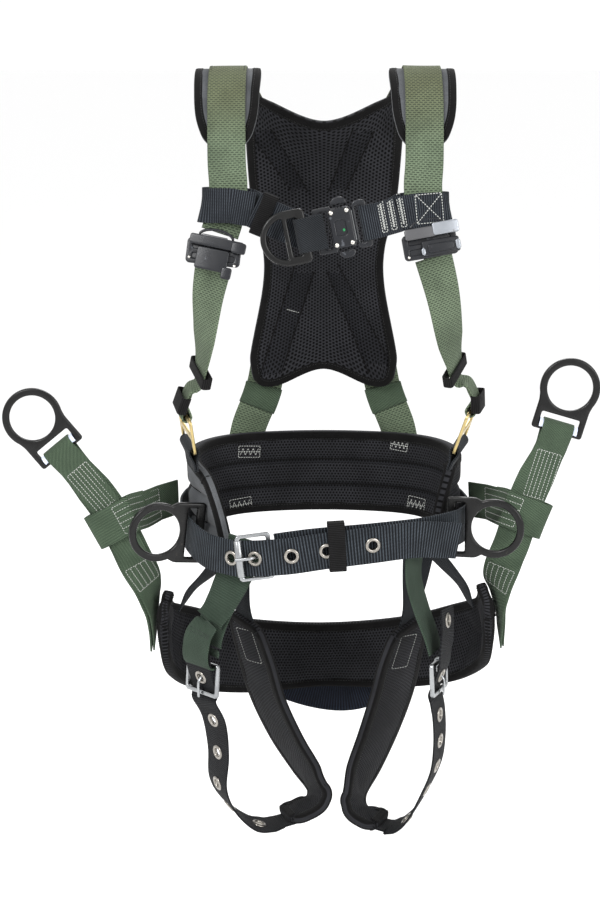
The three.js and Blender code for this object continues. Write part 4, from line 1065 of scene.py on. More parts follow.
BELT = [
    [-58, -121, -24, 0.06, 0, 1],
    [-30, -124.5, -19, 0.06, 0, 1],
    [0, -126.5, -15, 0.06, 0, 1],
    [60, -121, -11, 0.03, 0, 1],
    [115, -103, -9, 0, 0, 1],
    [152, -72, -9, 0, 0, 1],
    [167, -48, -10, *UP],
    [178, -8, -12, *UP],
    [178, 36, -12, *UP],
    [162, 84, -8, *UP],
    [118, 113, -4, *UP],
    [42, 131, -2, *UP],
    [-42, 131, -2, *UP],
    [-118, 113, -4, *UP],
    [-162, 84, -8, *UP],
    [-178, 36, -12, *UP],
    [-176, -8, -15, *UP],
    [-165, -52, -22, *UP],
    [-142, -90, -31, *UP],
    [-112, -114, -33.5, -0.06, 0, 1],
    [-99, -120, -32.7, -0.1, 0, 1],
    [-84, -126.8, -31, -0.1, 0, 1],
    [-68, -131.6, -29, -0.1, 0, 1],
    [-40, -134.4, -26, -0.08, 0, 1],
    [2, -134.8, -19.5, -0.1, 0, 1],
    [57, -129, -14, -0.03, 0, 1],
    [108, -113, -11.5, 0.03, 0, 1],
    [146, -92, -17, 0.1, 0, 1],
    [163, -80, -21, 0.12, 0, 1],
]
BUCKLE_OUT = [0.05, -1, 0.05]
BUCKLE_UP = [-0.12, 0.03, 0.99]
BUCKLE_PIVOT = [-66, -123.6, -27.5]
PRONG_BENDS = [[0, -0.5], [11, -1.6], [14, -0.6], [21, 5.4], [26, 6.9], [37, 6], [43, 5.3]]
HIP_SLOT = {"left": [-164.5, -54, -18], "right": [167, -48, -12]}
HIP_OUT = {"left": [-0.93, -0.34, 0.02], "right": [0.98, -0.2, -0.06]}
SEAT_RINGS = {
    "left": { "bar": [-324, -30, 81], "out": [-0.639, 0, 0.769] },
    "right": { "bar": [285, -30, 108], "out": [0.283, 0, 0.959] },
}
RISERS = {
    "left": [
        [-216, 24, -178, 0.02, 1, 0.1],
        [-215, 12, -150, 0.1, 0.99, 0.1],
        [-215, -2, -122, 0.3, 0.95, 0.15],
        [-219, -18, -92, 0.7, 0.65, 0.3],
        [-234, -28, -60, 0.9, 0.1, 0.43],
        [-248, -30, -29, 0.88, 0, 0.47],
        [-271, -30, 13, 0.79, 0, 0.61],
    ],
    "right": [
        [225, 24, -172, -0.02, 1, 0.1],
        [223, 10, -144, -0.1, 0.99, 0.1],
        [219, -4, -116, -0.3, 0.95, 0.15],
        [217, -19, -88, -0.75, 0.6, 0.25],
        [224, -28, -58, -0.94, 0.1, 0.25],
        [233, -30, -33, -0.95, 0, 0.3],
        [251, -30, 25, -0.93, 0, 0.37],
    ],
}
CONNECTORS = {
    "left": [
        [-184, 40, 6, 0, 0, -1],
        [-206, 12, 5, 0.1, 0, -1],
        [-224, -16, 2, 0.35, 0, -0.93],
        [-236, -35.5, 2.5, 0.47, 0, -0.88],
        [-258, -36.3, -9, 0.48, 0, -0.88],
        [-279, -35.5, -20.5, 0.48, 0, -0.88],
        [-284.5, -33.5, -23.5, 0.48, 0, -0.88],
        [-286.5, -30, -24.5, 0.48, 0, -0.88],
        [-284.5, -26.5, -23.5, 0.48, 0, -0.88],
        [-279, -24.5, -20.5, 0.48, 0, -0.88],
        [-258, -23.7, -9, 0.48, 0, -0.88],
        [-236, -23.5, 2.5, 0.47, 0, -0.88],
        [-221, -12, 4, 0.35, 0, -0.93],
    ],
    "right": [
        [184, 40, 3, 0, 0, -1],
        [203, 12, 6, 0, 0, -1],
        [214, -16, 8, -0.2, 0, -0.97],
        [221, -35.5, 9.5, -0.34, 0, -0.94],
        [243, -36.3, 1.5, -0.36, 0, -0.93],
        [266, -35.5, -7, -0.36, 0, -0.93],
        [272, -33.5, -9.2, -0.36, 0, -0.93],
        [274, -30, -10, -0.36, 0, -0.93],
        [272, -26.5, -9.2, -0.36, 0, -0.93],
        [266, -24.5, -7, -0.36, 0, -0.93],
        [243, -23.7, 1.5, -0.36, 0, -0.93],
        [221, -23.5, 9.5, -0.34, 0, -0.94],
        [213, -12, 8.5, -0.2, 0, -0.97],
    ],
}
SEAT_ROWS = [
    [[-192, -22, -98], [-199, -18, -120], [-200, -8, -146]],
    [[-197, 8, -112], [-203, 10, -155], [-200, 14, -200]],
    [[-194, 44, -132], [-200, 48, -182], [-190, 50, -236]],
    [[-166, 80, -150], [-171, 84, -205], [-160, 84, -262]],
    [[-100, 110, -174], [-102, 114, -225], [-96, 114, -275]],
    [[0, 124, -184], [0, 128, -228], [0, 126, -270]],
    [[100, 110, -172], [103, 114, -220], [97, 114, -268]],
    [[168, 80, -146], [175, 84, -198], [165, 84, -252]],
    [[196, 44, -126], [208, 48, -172], [200, 50, -224]],
    [[199, 8, -104], [209, 10, -147], [208, 14, -190]],
    [[194, -22, -88], [203, -20, -112], [205, -10, -138]],
]
SEAT_BAND = [
    [-203, 70, -192, 0.2, 0.2, 1],
    [-166, 104, -214, 0.1, 0.1, 1],
    [-104, 127, -243, 0, 0, 1],
    [-60, 135, -264, 0, 0, 1],
    [-10, 139, -282, 0, 0, 1],
    [36, 139, -286, 0, 0, 1],
    [82, 132, -268, 0, 0, 1],
    [124, 122, -240, 0, 0, 1],
    [172, 102, -208, -0.1, 0.1, 1],
    [210, 70, -184, -0.2, 0.2, 1],
]
SEAT_HANGERS = {
    "left": [
        [-128, -24, -58, 0.9, 0.4, 0],
        [-146, -4, -84, 0.8, 0.6, 0],
        [-168, 24, -112, 0.5, 0.85, 0],
        [-182, 30, -138, 0.15, 0.98, 0],
    ],
    "right": [
        [140, -22, -54, 0.9, -0.4, 0],
        [158, -4, -78, 0.8, -0.6, 0],
        [176, 22, -106, 0.5, -0.85, 0],
        [187, 30, -132, 0.2, -0.98, 0],
    ],
}
LEGS = {
    "left": {
        "pivot": [-148, -97, -170],
        "out": [-0.72, -0.69, 0],
        "down": [-0.05, -0.02, -1],
        "strap": [
            [-95, -98, -14, 0.94, -0.3, 0.1],
            [-101, -95, -40, 0.92, -0.35, 0.1],
            [-114, -92, -72, 0.88, -0.45, 0.12],
            [-130, -92, -104, 0.8, -0.58, 0.1],
            [-140, -94, -134, 0.72, -0.68, 0.05],
        ],
        "tongue": [
            [-57, -33, -400, 0.1, -0.95, 0.0],
            [-72, -42, -400, 0.15, -0.95, -0.05],
            [-93, -55, -392, 0.25, -0.93, -0.1],
            [-118, -70, -364, 0.4, -0.9, -0.1],
            [-132, -80, -331, 0.5, -0.86, -0.05],
            [-131, -88, -288, 0.58, -0.81, 0],
            [-136, -92, -245, 0.66, -0.75, 0],
        ],
        "tail": [],
        "tail_hole": [],
        "pad": [
            [-99, -22, -136, 0.436, -0.88, 0.177, 72],
            [-86, -6, -190, 0.436, -0.88, 0.177, 88],
            [-72, 4, -245, 0.44, -0.88, 0.19, 90],
            [-48, 8, -300, 0.42, -0.88, 0.22, 90],
            [-22, 4, -342, 0.38, -0.9, 0.22, 90],
            [-8, -4, -366, 0.25, -0.95, 0.15, 88],
            [-12, -13, -380, 0.15, -0.97, 0.05, 80],
            [-30, -22, -389, 0.1, -0.98, 0, 66],
            [-50, -29, -392, 0.1, -0.98, 0, 54],
        ],
        "hanger": [
            [-110, 4, -62, 0.85, -0.5, 0.1],
            [-108, -4, -90, 0.7, -0.7, 0.15],
            [-102, -14, -121, 0.436, -0.88, 0.177],
        ],
    },
    "right": {
        "pivot": [139, -97, -168],
        "out": [0.93, -0.36, 0],
        "down": [0.04, -0.02, -1],
        "strap": [
            [113, -86, -14, 0.6, 0.8, 0.1],
            [109, -84, -44, 0.5, 0.86, 0.1],
            [109, -84, -72, 0.42, 0.9, 0.1],
            [118, -88, -104, 0.38, 0.92, 0.1],
            [129, -93, -134, 0.36, 0.93, 0.05],
        ],
        "tongue": [
            [84, -34, -406, -0.1, -0.95, 0.0],
            [98, -44, -398, -0.2, -0.95, -0.05],
            [112, -56, -379, -0.3, -0.93, -0.1],
            [127, -70, -343, -0.36, -0.92, -0.1],
            [139, -80, -308, -0.36, -0.93, -0.05],
            [142, -88, -273, -0.36, -0.93, 0],
            [141, -92, -238, -0.36, -0.93, 0],
        ],
        "tail": [
            [150, -92, -132, -0.36, -0.93, 0],
            [149, -88, -104, -0.36, -0.93, 0],
        ],
        "tail_hole": [12.5],
        "pad": [
            [106, -22, -142, -0.5, -0.85, 0.17, 72],
            [97, -6, -190, -0.54, -0.82, 0.18, 88],
            [87, 4, -241, -0.56, -0.8, 0.18, 90],
            [71, 8, -293, -0.54, -0.82, 0.18, 90],
            [52, 6, -342, -0.48, -0.86, 0.16, 90],
            [40, -2, -374, -0.3, -0.93, 0.1, 88],
            [43, -12, -390, -0.15, -0.97, 0.05, 80],
            [58, -22, -398, -0.1, -0.98, 0, 66],
            [76, -29, -399, -0.1, -0.98, 0, 54],
        ],
        "hanger": [
            [118, 4, -62, -0.85, -0.5, 0.1],
            [114, -4, -92, -0.7, -0.7, 0.15],
            [108, -14, -126, -0.436, -0.88, 0.177],
        ],
    },
}
STERNAL_BAR_LIFT = 12
STERNAL_BAR_AT = -39  # along the chest strap from the buckle's middle
TURN_IN = [(36, 0.65), (17, 0.12)]  # distances from a hip buckle's bar, and shares of the strap's own way
DORSAL_PIN = (0, 143.5, 434)
HIP_BAR_HALF = 38
HIP_SLOT_HALF = 31
SLOT_Y = 11.25
# (fall, rise) of the left leg strap's fold round its buckle bar, and of each tongue through its buckle
LEG_WRAP = [(-40, 8), (-22, 13.5), (-8, 13.5), (1, 9.5), (3.5, 3), (1, -4)]
LEG_THROUGH = [(48, -4), (37, -6.1), (18, 2.3), (2, 7.9), (-16, 10)]
FINE = 8  # steps between two stations
SIDES = ("left", "right")


# ---------------------------------------------------------------- sewing through a surface

def target(*objs):
    """A surface to sew on, from pieces already made."""
    verts, faces = [], []
    for obj in objs:
        base = len(verts)
        verts += [v.co / MM for v in obj.data.vertices]
        faces += [[base + i for i in p.vertices] for p in obj.data.polygons]
    return BVHTree.FromPolygons(verts, faces)


def stitch_on(name, surface, lines, look="white", start=-400, pitch=STITCH_PITCH, length=STITCH_LENGTH,
              radius=STITCH_R):
    """Stitches along lines drawn in X and Z, laid on the first surface met going back from a Y."""
    way = Vector((0, 1, 0))
    parts = []
    for line in lines:
        for stitch in dashes(*line, pitch, length):
            ends = []
            for x, z in stitch:
                hit, normal, _, _ = surface.ray_cast(Vector((x, start, z)), way)
                if hit is None:
                    break
                if normal.dot(way) > 0:
                    normal = -normal
                ends.append((np.array(hit), np.array(normal)))
            if len(ends) == 2 and np.linalg.norm(ends[0][0] - ends[1][0]) < 3 * length:
                parts.append(bead(ends[0][0], ends[1][0], unit(ends[0][1]), radius))
    if not parts:
        return None
    points, faces = joined(parts)
    return piece(name, points, faces, look)


def turned_box(x, z, width, height, degrees, rows=0, teeth=0):
    """The lines of a sewn box about a point, turned, with rows along it or a zigzag in it."""
    a = math.radians(degrees)
    w, h = width / 2, height / 2
    lines = [((-w, -h), (w, -h)), ((w, -h), (w, h)), ((w, h), (-w, h)), ((-w, h), (-w, -h))]
    for i in range(1, rows + 1):
        y = h * (2 * i / (rows + 1) - 1)
        lines.append(((-w, y), (w, y)))
    if teeth:
        xs = np.linspace(-w * 0.85, w * 0.85, teeth + 1)
        ends = [(x, h * (0.6 if i % 2 else -0.6)) for i, x in enumerate(xs)]
        lines += list(zip(ends, ends[1:]))

    def turn(p):
        return x + p[0] * math.cos(a) - p[1] * math.sin(a), z + p[0] * math.sin(a) + p[1] * math.cos(a)
    return [(turn(p), turn(q)) for p, q in lines]


def seam(grid, lines, half=3.2):
    """How far each point of a sheet is sewn down, for seams drawn in X and Z."""
    x, z = grid[:, :, 0], grid[:, :, 2]
    nearest = np.full(x.shape, 1e9)
    for (x0, z0), (x1, z1) in lines:
        dx, dz = x1 - x0, z1 - z0
        share = np.clip(((x - x0) * dx + (z - z0) * dz) / (dx * dx + dz * dz), 0, 1)
        nearest = np.minimum(nearest, np.hypot(x - x0 - share * dx, z - z0 - share * dz))
    return np.exp(-(nearest / half) ** 2)


def lobe_grid(stations, columns, steps):
    """A sheet along stations that carry their own widths: grid[across][along]."""
    s = catmull(stations, steps)
    point, _, across, _ = frames(s)
    shares = np.linspace(-0.5, 0.5, columns + 1)
    return point[None] + across[None] * (s[:, 6][None, :, None] * shares[:, None, None])


def rounded_grid(grid, radius):
    """Rounds the four corners of a sheet by drawing its corner points in."""
    nu, nv = grid.shape[:2]
    out = grid.copy()
    u = distances(grid[:, nv // 2])
    v = distances(grid[nu // 2])
    for i in range(nu):
        for j in range(nv):
            a, b = min(u[i], u[-1] - u[i]), min(v[j], v[-1] - v[j])
            if a >= radius or b >= radius:
                continue
            da, db = radius - a, radius - b
            reach = math.hypot(da, db)
            square = max(da, db)
            scale = square / reach if reach > 0 else 1
            pull_u, pull_v = da * (1 - scale), db * (1 - scale)
            si = 1 if u[i] < u[-1] / 2 else -1
            sj = 1 if v[j] < v[-1] / 2 else -1
            du = unit(grid[min(i + 1, nu - 1), j] - grid[max(i - 1, 0), j])
            dv = unit(grid[i, min(j + 1, nv - 1)] - grid[i, max(j - 1, 0)])
            out[i, j] = grid[i, j] + du * si * pull_u + dv * sj * pull_v
    return out


# ---------------------------------------------------------------- torso

def torso_path(depth):
    """A shoulder strap, up the back, across the plate, over the pad and down to the chest adjuster."""
    clear = PAD_T / 2 + WEB_T / 2 + 1.4
    middle = smooth(SHOULDER, 3)
    on_pad = [offset(middle, clear + max(0, 10 - i) * 0.8)[i] for i in range(4, 19)]
    back = [
        [-100, 120, 62, 0.94, -0.2, -0.33],
        [-94, 120, 86, 0.94, -0.1, -0.33],
        [-77, 124, 130, 0.97, 0, -0.23],
        [-66, 124, 185, 0.97, 0, -0.23],
        [-42, 125 + depth, 280, 0.93, 0, -0.38],
        [-14, 126 + depth, 345, 0.9, 0, -0.43],
        [14, 126 + depth, 398, 0.85, 0, -0.53],
        [50, 116 + depth, 444, 0.82, 0.1, -0.55],
    ]
    back = [[-x, y, z, ax, ay, -az] for x, y, z, ax, ay, az in back]
    front = [
        [-116, -90, 440, 1, 0, 0],
        [-114, -102, 410, 1, 0.05, 0],
        [-118, -109, 378, 0.98, 0.1, -0.1],
        [-124, -112, 358, 0.98, 0.1, -0.12],
    ]
    rise = smooth([*back, on_pad[0], on_pad[3]], 3)[:-3]
    fall = smooth([on_pad[11], on_pad[14], *front], 3)[4:]
    return np.vstack([rise, on_pad[1:], fall])


BACK_SEAMS = [
    ((-36, 292), (-81, 150)), ((-12, 282), (-54, 152)), ((4, 282), (58, 152)), ((18, 292), (86, 165)),
    ((-94, 462), (-42, 386)), ((-66, 464), (-20, 384)), ((36, 464), (6, 384)), ((62, 462), (28, 386)),
]


def between_lines(x, z, first, second):
    """Whether a place lies between two lines, each drawn from its top end to its bottom end."""
    sides = []
    for (x0, z0), (x1, z1) in (first, second):
        if not z1 < z < z0:
            return False
        sides.append(x - x0 - (x1 - x0) * (z - z0) / (z1 - z0))
    return sides[0] * sides[1] < 0


# The lobes follow SHOULDER from its second station on, with one number here for each of those.
LOBE_SINK = (6, 3, 0, 0, 0, 0, 0)  # how far the lobe is set back there
LOBE_TRIM = (18, 16, 8, 0, 0, 0, 0)  # how much narrower the lobe is at its inner edge there
LOBE_BOUND = (0.02, 0.98)  # the part of a lobe's rim that shows, as shares of the way round it


def back_pad():
    """The mesh back pad with its crossed seams, and a lobe over each shoulder."""
    rows = [row + [[-x, y, z] for x, y, z in row[-2::-1]] for row in BACK_ROWS]
    grid = rounded_grid(grid_of(rows, 16, 13), 26)
    body = quilt("back_pad_body", grid, PAD_T, "mesh", ("back_pad",), seam(grid, BACK_SEAMS, 4.2), puff=5)
    # the bands between each pair of seams take the darker, finer mesh: the finer knit is the pad's own, and its
    # darker tone is partly its own and partly painted shade
    body.data.materials.append(MAT["shade_mesh"])
    for polygon in body.data.polygons:
        x, _, z = polygon.center / MM
        if any(between_lines(x, z, BACK_SEAMS[k], BACK_SEAMS[k + 1]) for k in (0, 2, 4, 6)):
            polygon.material_index = 1
    bind_grid("back_pad_binding", grid, PAD_T, 10)
    stitch_on("back_pad_seams", target(body), BACK_SEAMS, "binding", start=-60, pitch=4, length=4.4,
              radius=1.0)
    stitch_on("back_pad_mark", target(body), [((-47, 235), (-31, 230))], start=-60, pitch=2.6)
    sunk = [[x - trim / 2, y + sink, *rest, width - trim]
            for (x, y, *rest, width), sink, trim in zip(SHOULDER[1:], LOBE_SINK, LOBE_TRIM)]
    for side, stations, sign in (("left", sunk, 1), ("right", mirrored(sunk), -1)):
        sheet = rounded_grid(lobe_grid(stations, 18, 9)[::sign], 20)
        quilt(f"shoulder_lobe_{side}", sheet, PAD_T, "grey", lining="mesh", puff=4, lean=len(side))
        bind_grid(f"shoulder_binding_{side}", sheet, PAD_T, 10, LOBE_BOUND)


def torso_straps():
    for side, path in (("left", torso_path(0)), ("right", np.array(mirrored(torso_path(3.4))))):
        run = strap(f"torso_strap_{side}", catmull(path, 2), "green",
                    stands_for=(f"torso_strap_{side}",), seed=len(side))
        rows = edge_rows(run, run.length * 0.52, run.length * 0.74)
        sew(f"torso_strap_{side}_edges", run, rows, "shade", pitch=4.2, length=3)
        hem = run.near([82 if side == "left" else -82, 124, 120])
        overlay(f"torso_hem_{side}", run, hem - 14, hem + 16, 3.2, "twill", WEB + 3, 2.4)


def dorsal_hardware():
    windows = [rounded(-46, -38, -8, 38, 8)[::-1], rounded(8, -38, 46, 38, 8)[::-1]]
    loops = [rounded(-56, -48, 56, 48, 14), *windows]
    plate("dorsal_plate", loops, 4, 1.4, (0, 135, 390), (-1, 0, 0), UP, "dark",
          stands_for=("dorsal_plate",))
    x, y, z = DORSAL_PIN
    for number, side in enumerate((-40, 40)):
        eye = [rounded(-7, -7, 7, 7, 6.5), arc(0, 0, 4.6, 360, 15, 24)]
        plate(f"dorsal_lug_{number}", eye, 8, 1, (x + side, y, z), (0, 1, 0), (0, 0, 1), "dark")
    legs = [(-31.5, -3.2), (-23.5, -3.2), (-23.5, 17), (23.5, 17), (23.5, -3.2), (31.5, -3.2), (31.5, 9)]
    outline = softened(legs, 2) + arc(0, EYE_Y, RIM_R, -28, 208, 48) + [(-31.5, 9)]
    loops = [outline, arc(0, EYE_Y, EYE_R, 360, 8, 45)]
    plate("dorsal_ring", loops, RING_T, 2.2, DORSAL_PIN, (1, 0, 0), (0, 0, -1), "forged", "dorsal_ring",
          ("dorsal_d_ring",))
    points, faces = rod([(x + side, y, z) for side in np.linspace(-46, 46, 12)], 3.6, 20)
    piece("dorsal_ring_pin", points, faces, "steel", body="dorsal_ring")


def softened(points, reach):
    """Rounds the corners of an open run of points."""
    p = [np.asarray(x, float) for x in points]
    out = [p[0]]
    for a, b, c in zip(p, p[1:], p[2:]):
        first = b + (a - b) * min(0.45, reach / np.linalg.norm(a - b))
        last = b + (c - b) * min(0.45, reach / np.linalg.norm(c - b))
        out += [(1 - t) ** 2 * first + 2 * t * (1 - t) * b + t * t * last for t in (0, 0.25, 0.5, 0.75, 1)]
    return [tuple(q) for q in out + [p[-1]]]


def ring_loops(bar_half, slot_half):
    """A forged ring: a round eye, two shoulders and a webbing slot over a straight bar on X."""
    low = -5.5
    shoulder = arc(0, EYE_Y, RIM_R, -24, 204, 56)
    half = bar_half
    foot = [(-half, 30), (-half, 9), (-half, low), (half, low), (half, 9), (half, 30)]
    neck = [shoulder[-1], *foot, shoulder[0]]
    outline = softened(neck, 4)[1:-1] + shoulder
    return [outline, arc(0, EYE_Y, EYE_R, 360, 6, 60), rounded(-slot_half, 5.5, slot_half, 17, 2.4)[::-1]]


def arch_loops(slot_half, arch_y, radius, wall):
    """The chest ring: an arch over a cross bar, with the webbing slot below it."""
    foot = [(-radius, arch_y), (-radius, -1), (-radius + 4, -5.5)]
    foot += [(-x, y) for x, y in foot[::-1]]
    outline = softened(foot, 3)[1:-1] + arc(0, arch_y, radius, 0, 180, 32)
    inner = radius - wall
    lean = math.degrees(math.asin(3 / inner))
    window = softened([(0, arch_y + 3), (-inner + 0.4, arch_y + 3), (-inner + 1, arch_y + 8)], 2)[:-1]
    window += arc(0, arch_y, inner, 180 - lean - 8, lean + 8, 32)
    window += softened([(inner - 1, arch_y + 8), (inner - 0.4, arch_y + 3), (0, arch_y + 3)], 2)[1:-1]
    return [outline, window, rounded(-slot_half, 5.5, slot_half, 16, 2.4)[::-1]]


def d_ring(name, origin, x_axis, y_axis, bar_half, slot_half, body, node):
    loops = ring_loops(bar_half, slot_half)
    plate(name, loops, RING_T, 2.3, origin, x_axis, y_axis, "forged", body, (node,))


# ---------------------------------------------------------------- adjusters, front straps, hip buckles

def in_line(hip, distance):
    up = unit(np.subtract(hip["upper"], hip["lower"]))
    start = np.array(hip["upper"] if distance > 0 else hip["lower"], float)
    return [*(start + up * distance), *hip["across"]]


def turn_in(hip, last):
    bar = np.array(hip["upper"], float)
    own = unit(np.asarray(last[:3]) - bar)
    line = unit(np.array(in_line(hip, 1)[:3]) - bar)
    return [[*(bar + unit(line * (1 - share) + own * share) * distance), *hip["across"]]
            for distance, share in TURN_IN]


def hip_buckle(side, hip):
    """A two-slot buckle between the front strap and its loop off the belt."""
    upper, lower = np.array(hip["upper"], float), np.array(hip["lower"], float)
    centre = np.linalg.norm(upper - lower) / 2
    slots = [rounded(-24, 3.5, 24, centre - 3, 2.4)[::-1], rounded(-24, 3 - centre, 24, -3.5, 2.4)[::-1]]
    loops = [rounded(-29, -centre - 3, 29, centre + 3, 8), *slots]
    plate(f"hip_buckle_{side}", loops, 3.6, 1.3, (upper + lower) / 2, hip["across"], upper - lower, "gold",
          stands_for=(f"hip_buckle_{side}",))


def front_straps():
    for side, front, hip in (("left", LEFT_FRONT, LEFT_HIP), ("right", RIGHT_FRONT, RIGHT_HIP)):
        path = smooth([*front, *turn_in(hip, front[-1])], 12)
        run = strap(f"front_strap_{side}", around_bar(path, hip["upper"], HIP_LOOP_R), "green", pitch=2.2,
                    stands_for=(f"front_strap_{side}",), seed=2 + len(side),
                    taper=(hip["upper"], 125, 30, 0.5))
        s = run.near(hip["upper"]) - 27
        middle, out = run.at(s)
        band(f"front_sleeve_{side}", middle, run.pick(s, run.across), out, 29, 9, 22, 1.4, "elastic")
        point, _, across, out = (field[42] for field in frames(path))
        band(f"front_keeper_{side}", point, across, out, 51, 10, 14, 1.4, "elastic",
             stands_for=(f"front_keeper_{side}",))
        hip_buckle(side, hip)
        foot = np.array([in_line(hip, -27), in_line(hip, -16)])
        strap(f"hip_loop_{side}", around_bar(foot, hip["lower"], HIP_LOOP_R), "black", WEB - 1, pitch=2,
              stands_for=(f"hip_loop_{side}",))


def adjuster(side, origin, x_axis, tilt, blocks):
    """A chest adjuster: a slotted plate under a tilted sprung bar, a wire arch over it, and blocks, which
    are [look, x0, y0, x1, y1, height, thickness] in the plate's own directions."""
    up = (0.05, 0.25, 0.97)
    slots = [rounded(-25, 3, 25, 9.5, 2)[::-1], rounded(-25, -9.5, 25, -3, 2)[::-1]]
    loops = [rounded(-32, -15, 32, 15, 5), *slots]
    plate(f"torso_adjuster_{side}", loops, 4.5, 1.4, origin, x_axis, up, "dark",
          stands_for=(f"torso_adjuster_{side}",))
    flat_x = unit(x_axis)
    flat_y = square_to(up, flat_x)
    out = np.cross(flat_x, flat_y)
    x = flat_x * math.cos(tilt) + flat_y * math.sin(tilt)
    y = np.cross(out, x)
    origin = np.array(origin, float)
    for number, (look, x0, y0, x1, y1, height, thickness) in enumerate(blocks):
        corner = min(3, (y1 - y0) / 3)
        plate(f"adjuster_block_{side}_{number}", [rounded(x0, y0, x1, y1, corner)], thickness, 1.2,
              origin + out * height, x, y, look)
    top = blocks[0][4]
    arch = [origin + x * 20 * math.cos(a) + y * (top + 9 * math.sin(a)) + out * 4
            for a in np.linspace(0, math.pi, 17)]
    points, faces = rod(arch, 1.7, 10)
    piece(f"adjuster_arch_{side}", points, faces, "dark")
    for number, share in enumerate((-1, 1)):
        place = origin + x * share * 27 - y * 11 + out * 2.2
        rivet(f"adjuster_rivet_{side}_{number}", place, x, y, 1.8, 1.0)


LEFT_BLOCKS = [
    ["dark", -30, 5, 34, 17, 6.5, 6],
    ["dark", -28, -12, 28, 12, -1, 2.5],
    ["dark", 20, 3, 37, 16, 8, 5],
    ["dark", -19, -22, 19, 4, 4.6, 3],
    ["dark", 14, -29, 26, -15, 6, 3.5],
    ["cover", -17, 14, 14, 18.5, 8, 2],
]
RIGHT_BLOCKS = [
    ["cover", -28, 8, 8, 21, 6.5, 6],
    ["dark", -28, -12, 28, 12, -1, 2.5],
    ["brushed", 5, 9, 36, 24, 7.5, 6],
    ["dark", -10, -13, 34, 5, 4.6, 3],
    ["dark", -4, -10, 27, 0, 6.5, 3.5],
    ["brushed", 29, -11, 35, 1, 6, 4],
    ["brushed", -12, -12, -7, -3, 6, 4],
]


# ---------------------------------------------------------------- chest strap and buckle

def chest_point(x, y=0.0, z=0.0):
    right = unit(CHEST_X)
    up = square_to(CHEST_UP, right)
    return np.array(BUCKLE_C) + right * x + up * y + np.cross(right, up) * z


def chest_side(stations, mirror, lift):
    return [[mirror * x, y + lift / 4, z + lift, mirror * ax, ay, az] for x, y, z, ax, ay, az in stations]


def chest_strap(side, mirror, lift, count, end, bar):
    loop = [[*p, *CHEST_LEAN] for p in CHEST_LOOP]
    strap(f"chest_loop_{side}", chest_side(loop, mirror, lift), "satin", CHEST_WEB, pitch=2.2,
          stands_for=(f"chest_strap_{side}",), seed=5 + len(side))
    run = [
        [-84, -117.8, 386, *CHEST_LEAN],
        [-66, -120.6, 378, 0.08, 0.12, 0.98],
        [-47, -123.4, 370, -0.08, 0.1, 0.99],
    ][:count]
    path = smooth([*chest_side(run, mirror, lift), [*chest_point(end), *CHEST_UP]], FINE)
    path = around_bar(path, chest_point(bar), CHEST_BAR_R)
    strap(f"chest_run_{side}", path, "satin", CHEST_WEB, pitch=2)


def chest_buckle():
    """The quick-release buckle: body, domed cover, two side levers and the tab that locks in it."""
    def on_chest(name, loops, thickness, bevel, look, x=0.0, y=0.0, lift=0.0, body=HARNESS, nodes=()):
        place = chest_point(x, y, lift)
        plate(name, loops, thickness, bevel, place, CHEST_X, CHEST_UP, look, body, nodes)

    base = softened([(-25, 0), (-25, -27), (-3.5, -27), (-3.5, -23.6), (17.5, -23.6), (20, -21), (20, 21),
                     (17.5, 23.6), (-3.5, 23.6), (-3.5, 27), (-25, 27), (-25, 0.1)], 2.2)
    on_chest("chest_buckle_body", [base, rounded(-17.5, -22, -9, 22, 2.4)[::-1]], 4.4, 1.2, "dark",
             nodes=("chest_buckle_body",))
    cover = softened([(-7, 0), (-7, -23), (19, -23), (19, 23), (-7, 23), (-7, 0.1)], 5)
    window = rounded(-1, -9, 11, 9, 3)[::-1]
    on_chest("chest_buckle_cover", [cover, window], 4, 1.3, "dark", lift=4.9, nodes=("chest_buckle_cover",))
    on_chest("chest_buckle_inner", [rounded(-2.5, -10.5, 12.5, 10.5, 3)], 2, 0.6, "dark", lift=4.2)
    on_chest("chest_indicator", [rounded(6.6, -4.6, 9.4, -1.4, 1.3)], 1.4, 0.5, "signal", lift=5.6)
    for number, (x, y) in enumerate(((-3.5, -19), (-3.5, 19), (15, -19), (15, 19))):
        rivet(f"chest_rivet_{number}", chest_point(x, y, 6.9), CHEST_X, CHEST_UP, 2.7, 1.3)
    lever = softened([(-9, 0), (-9, -3.4), (9, -3.4), (9, 0.6), (5.4, 3.9), (0, 4.8), (-5.4, 3.9),
                      (-9, 0.6), (-9, 0.1)], 1)
    for end, turn in (("upper", 1), ("lower", -1)):
        turned = [(turn * x, turn * y) for x, y in lever]
        on_chest(f"release_lever_{end}", [turned], 5, 1.1, "dark", 7, turn * 31.2, 0, f"release_{end}",
                 (f"release_lever_{end}",))
    tab = softened([(20.6, 0), (20.6, -20), (23, -28), (38, -28), (38, 28), (23, 28), (20.6, 20),
                    (20.6, 0.1)], 5)
    slot = rounded(24, -22, 31.5, 22, 3)[::-1]
    on_chest("chest_tab", [tab, slot], 4.4, 1.5, "dark", nodes=("chest_tab",))
    on_chest("chest_tab_tongue", [rounded(3, -17.5, 22.4, 17.5, 3)], 1.8, 0.5, "steel")


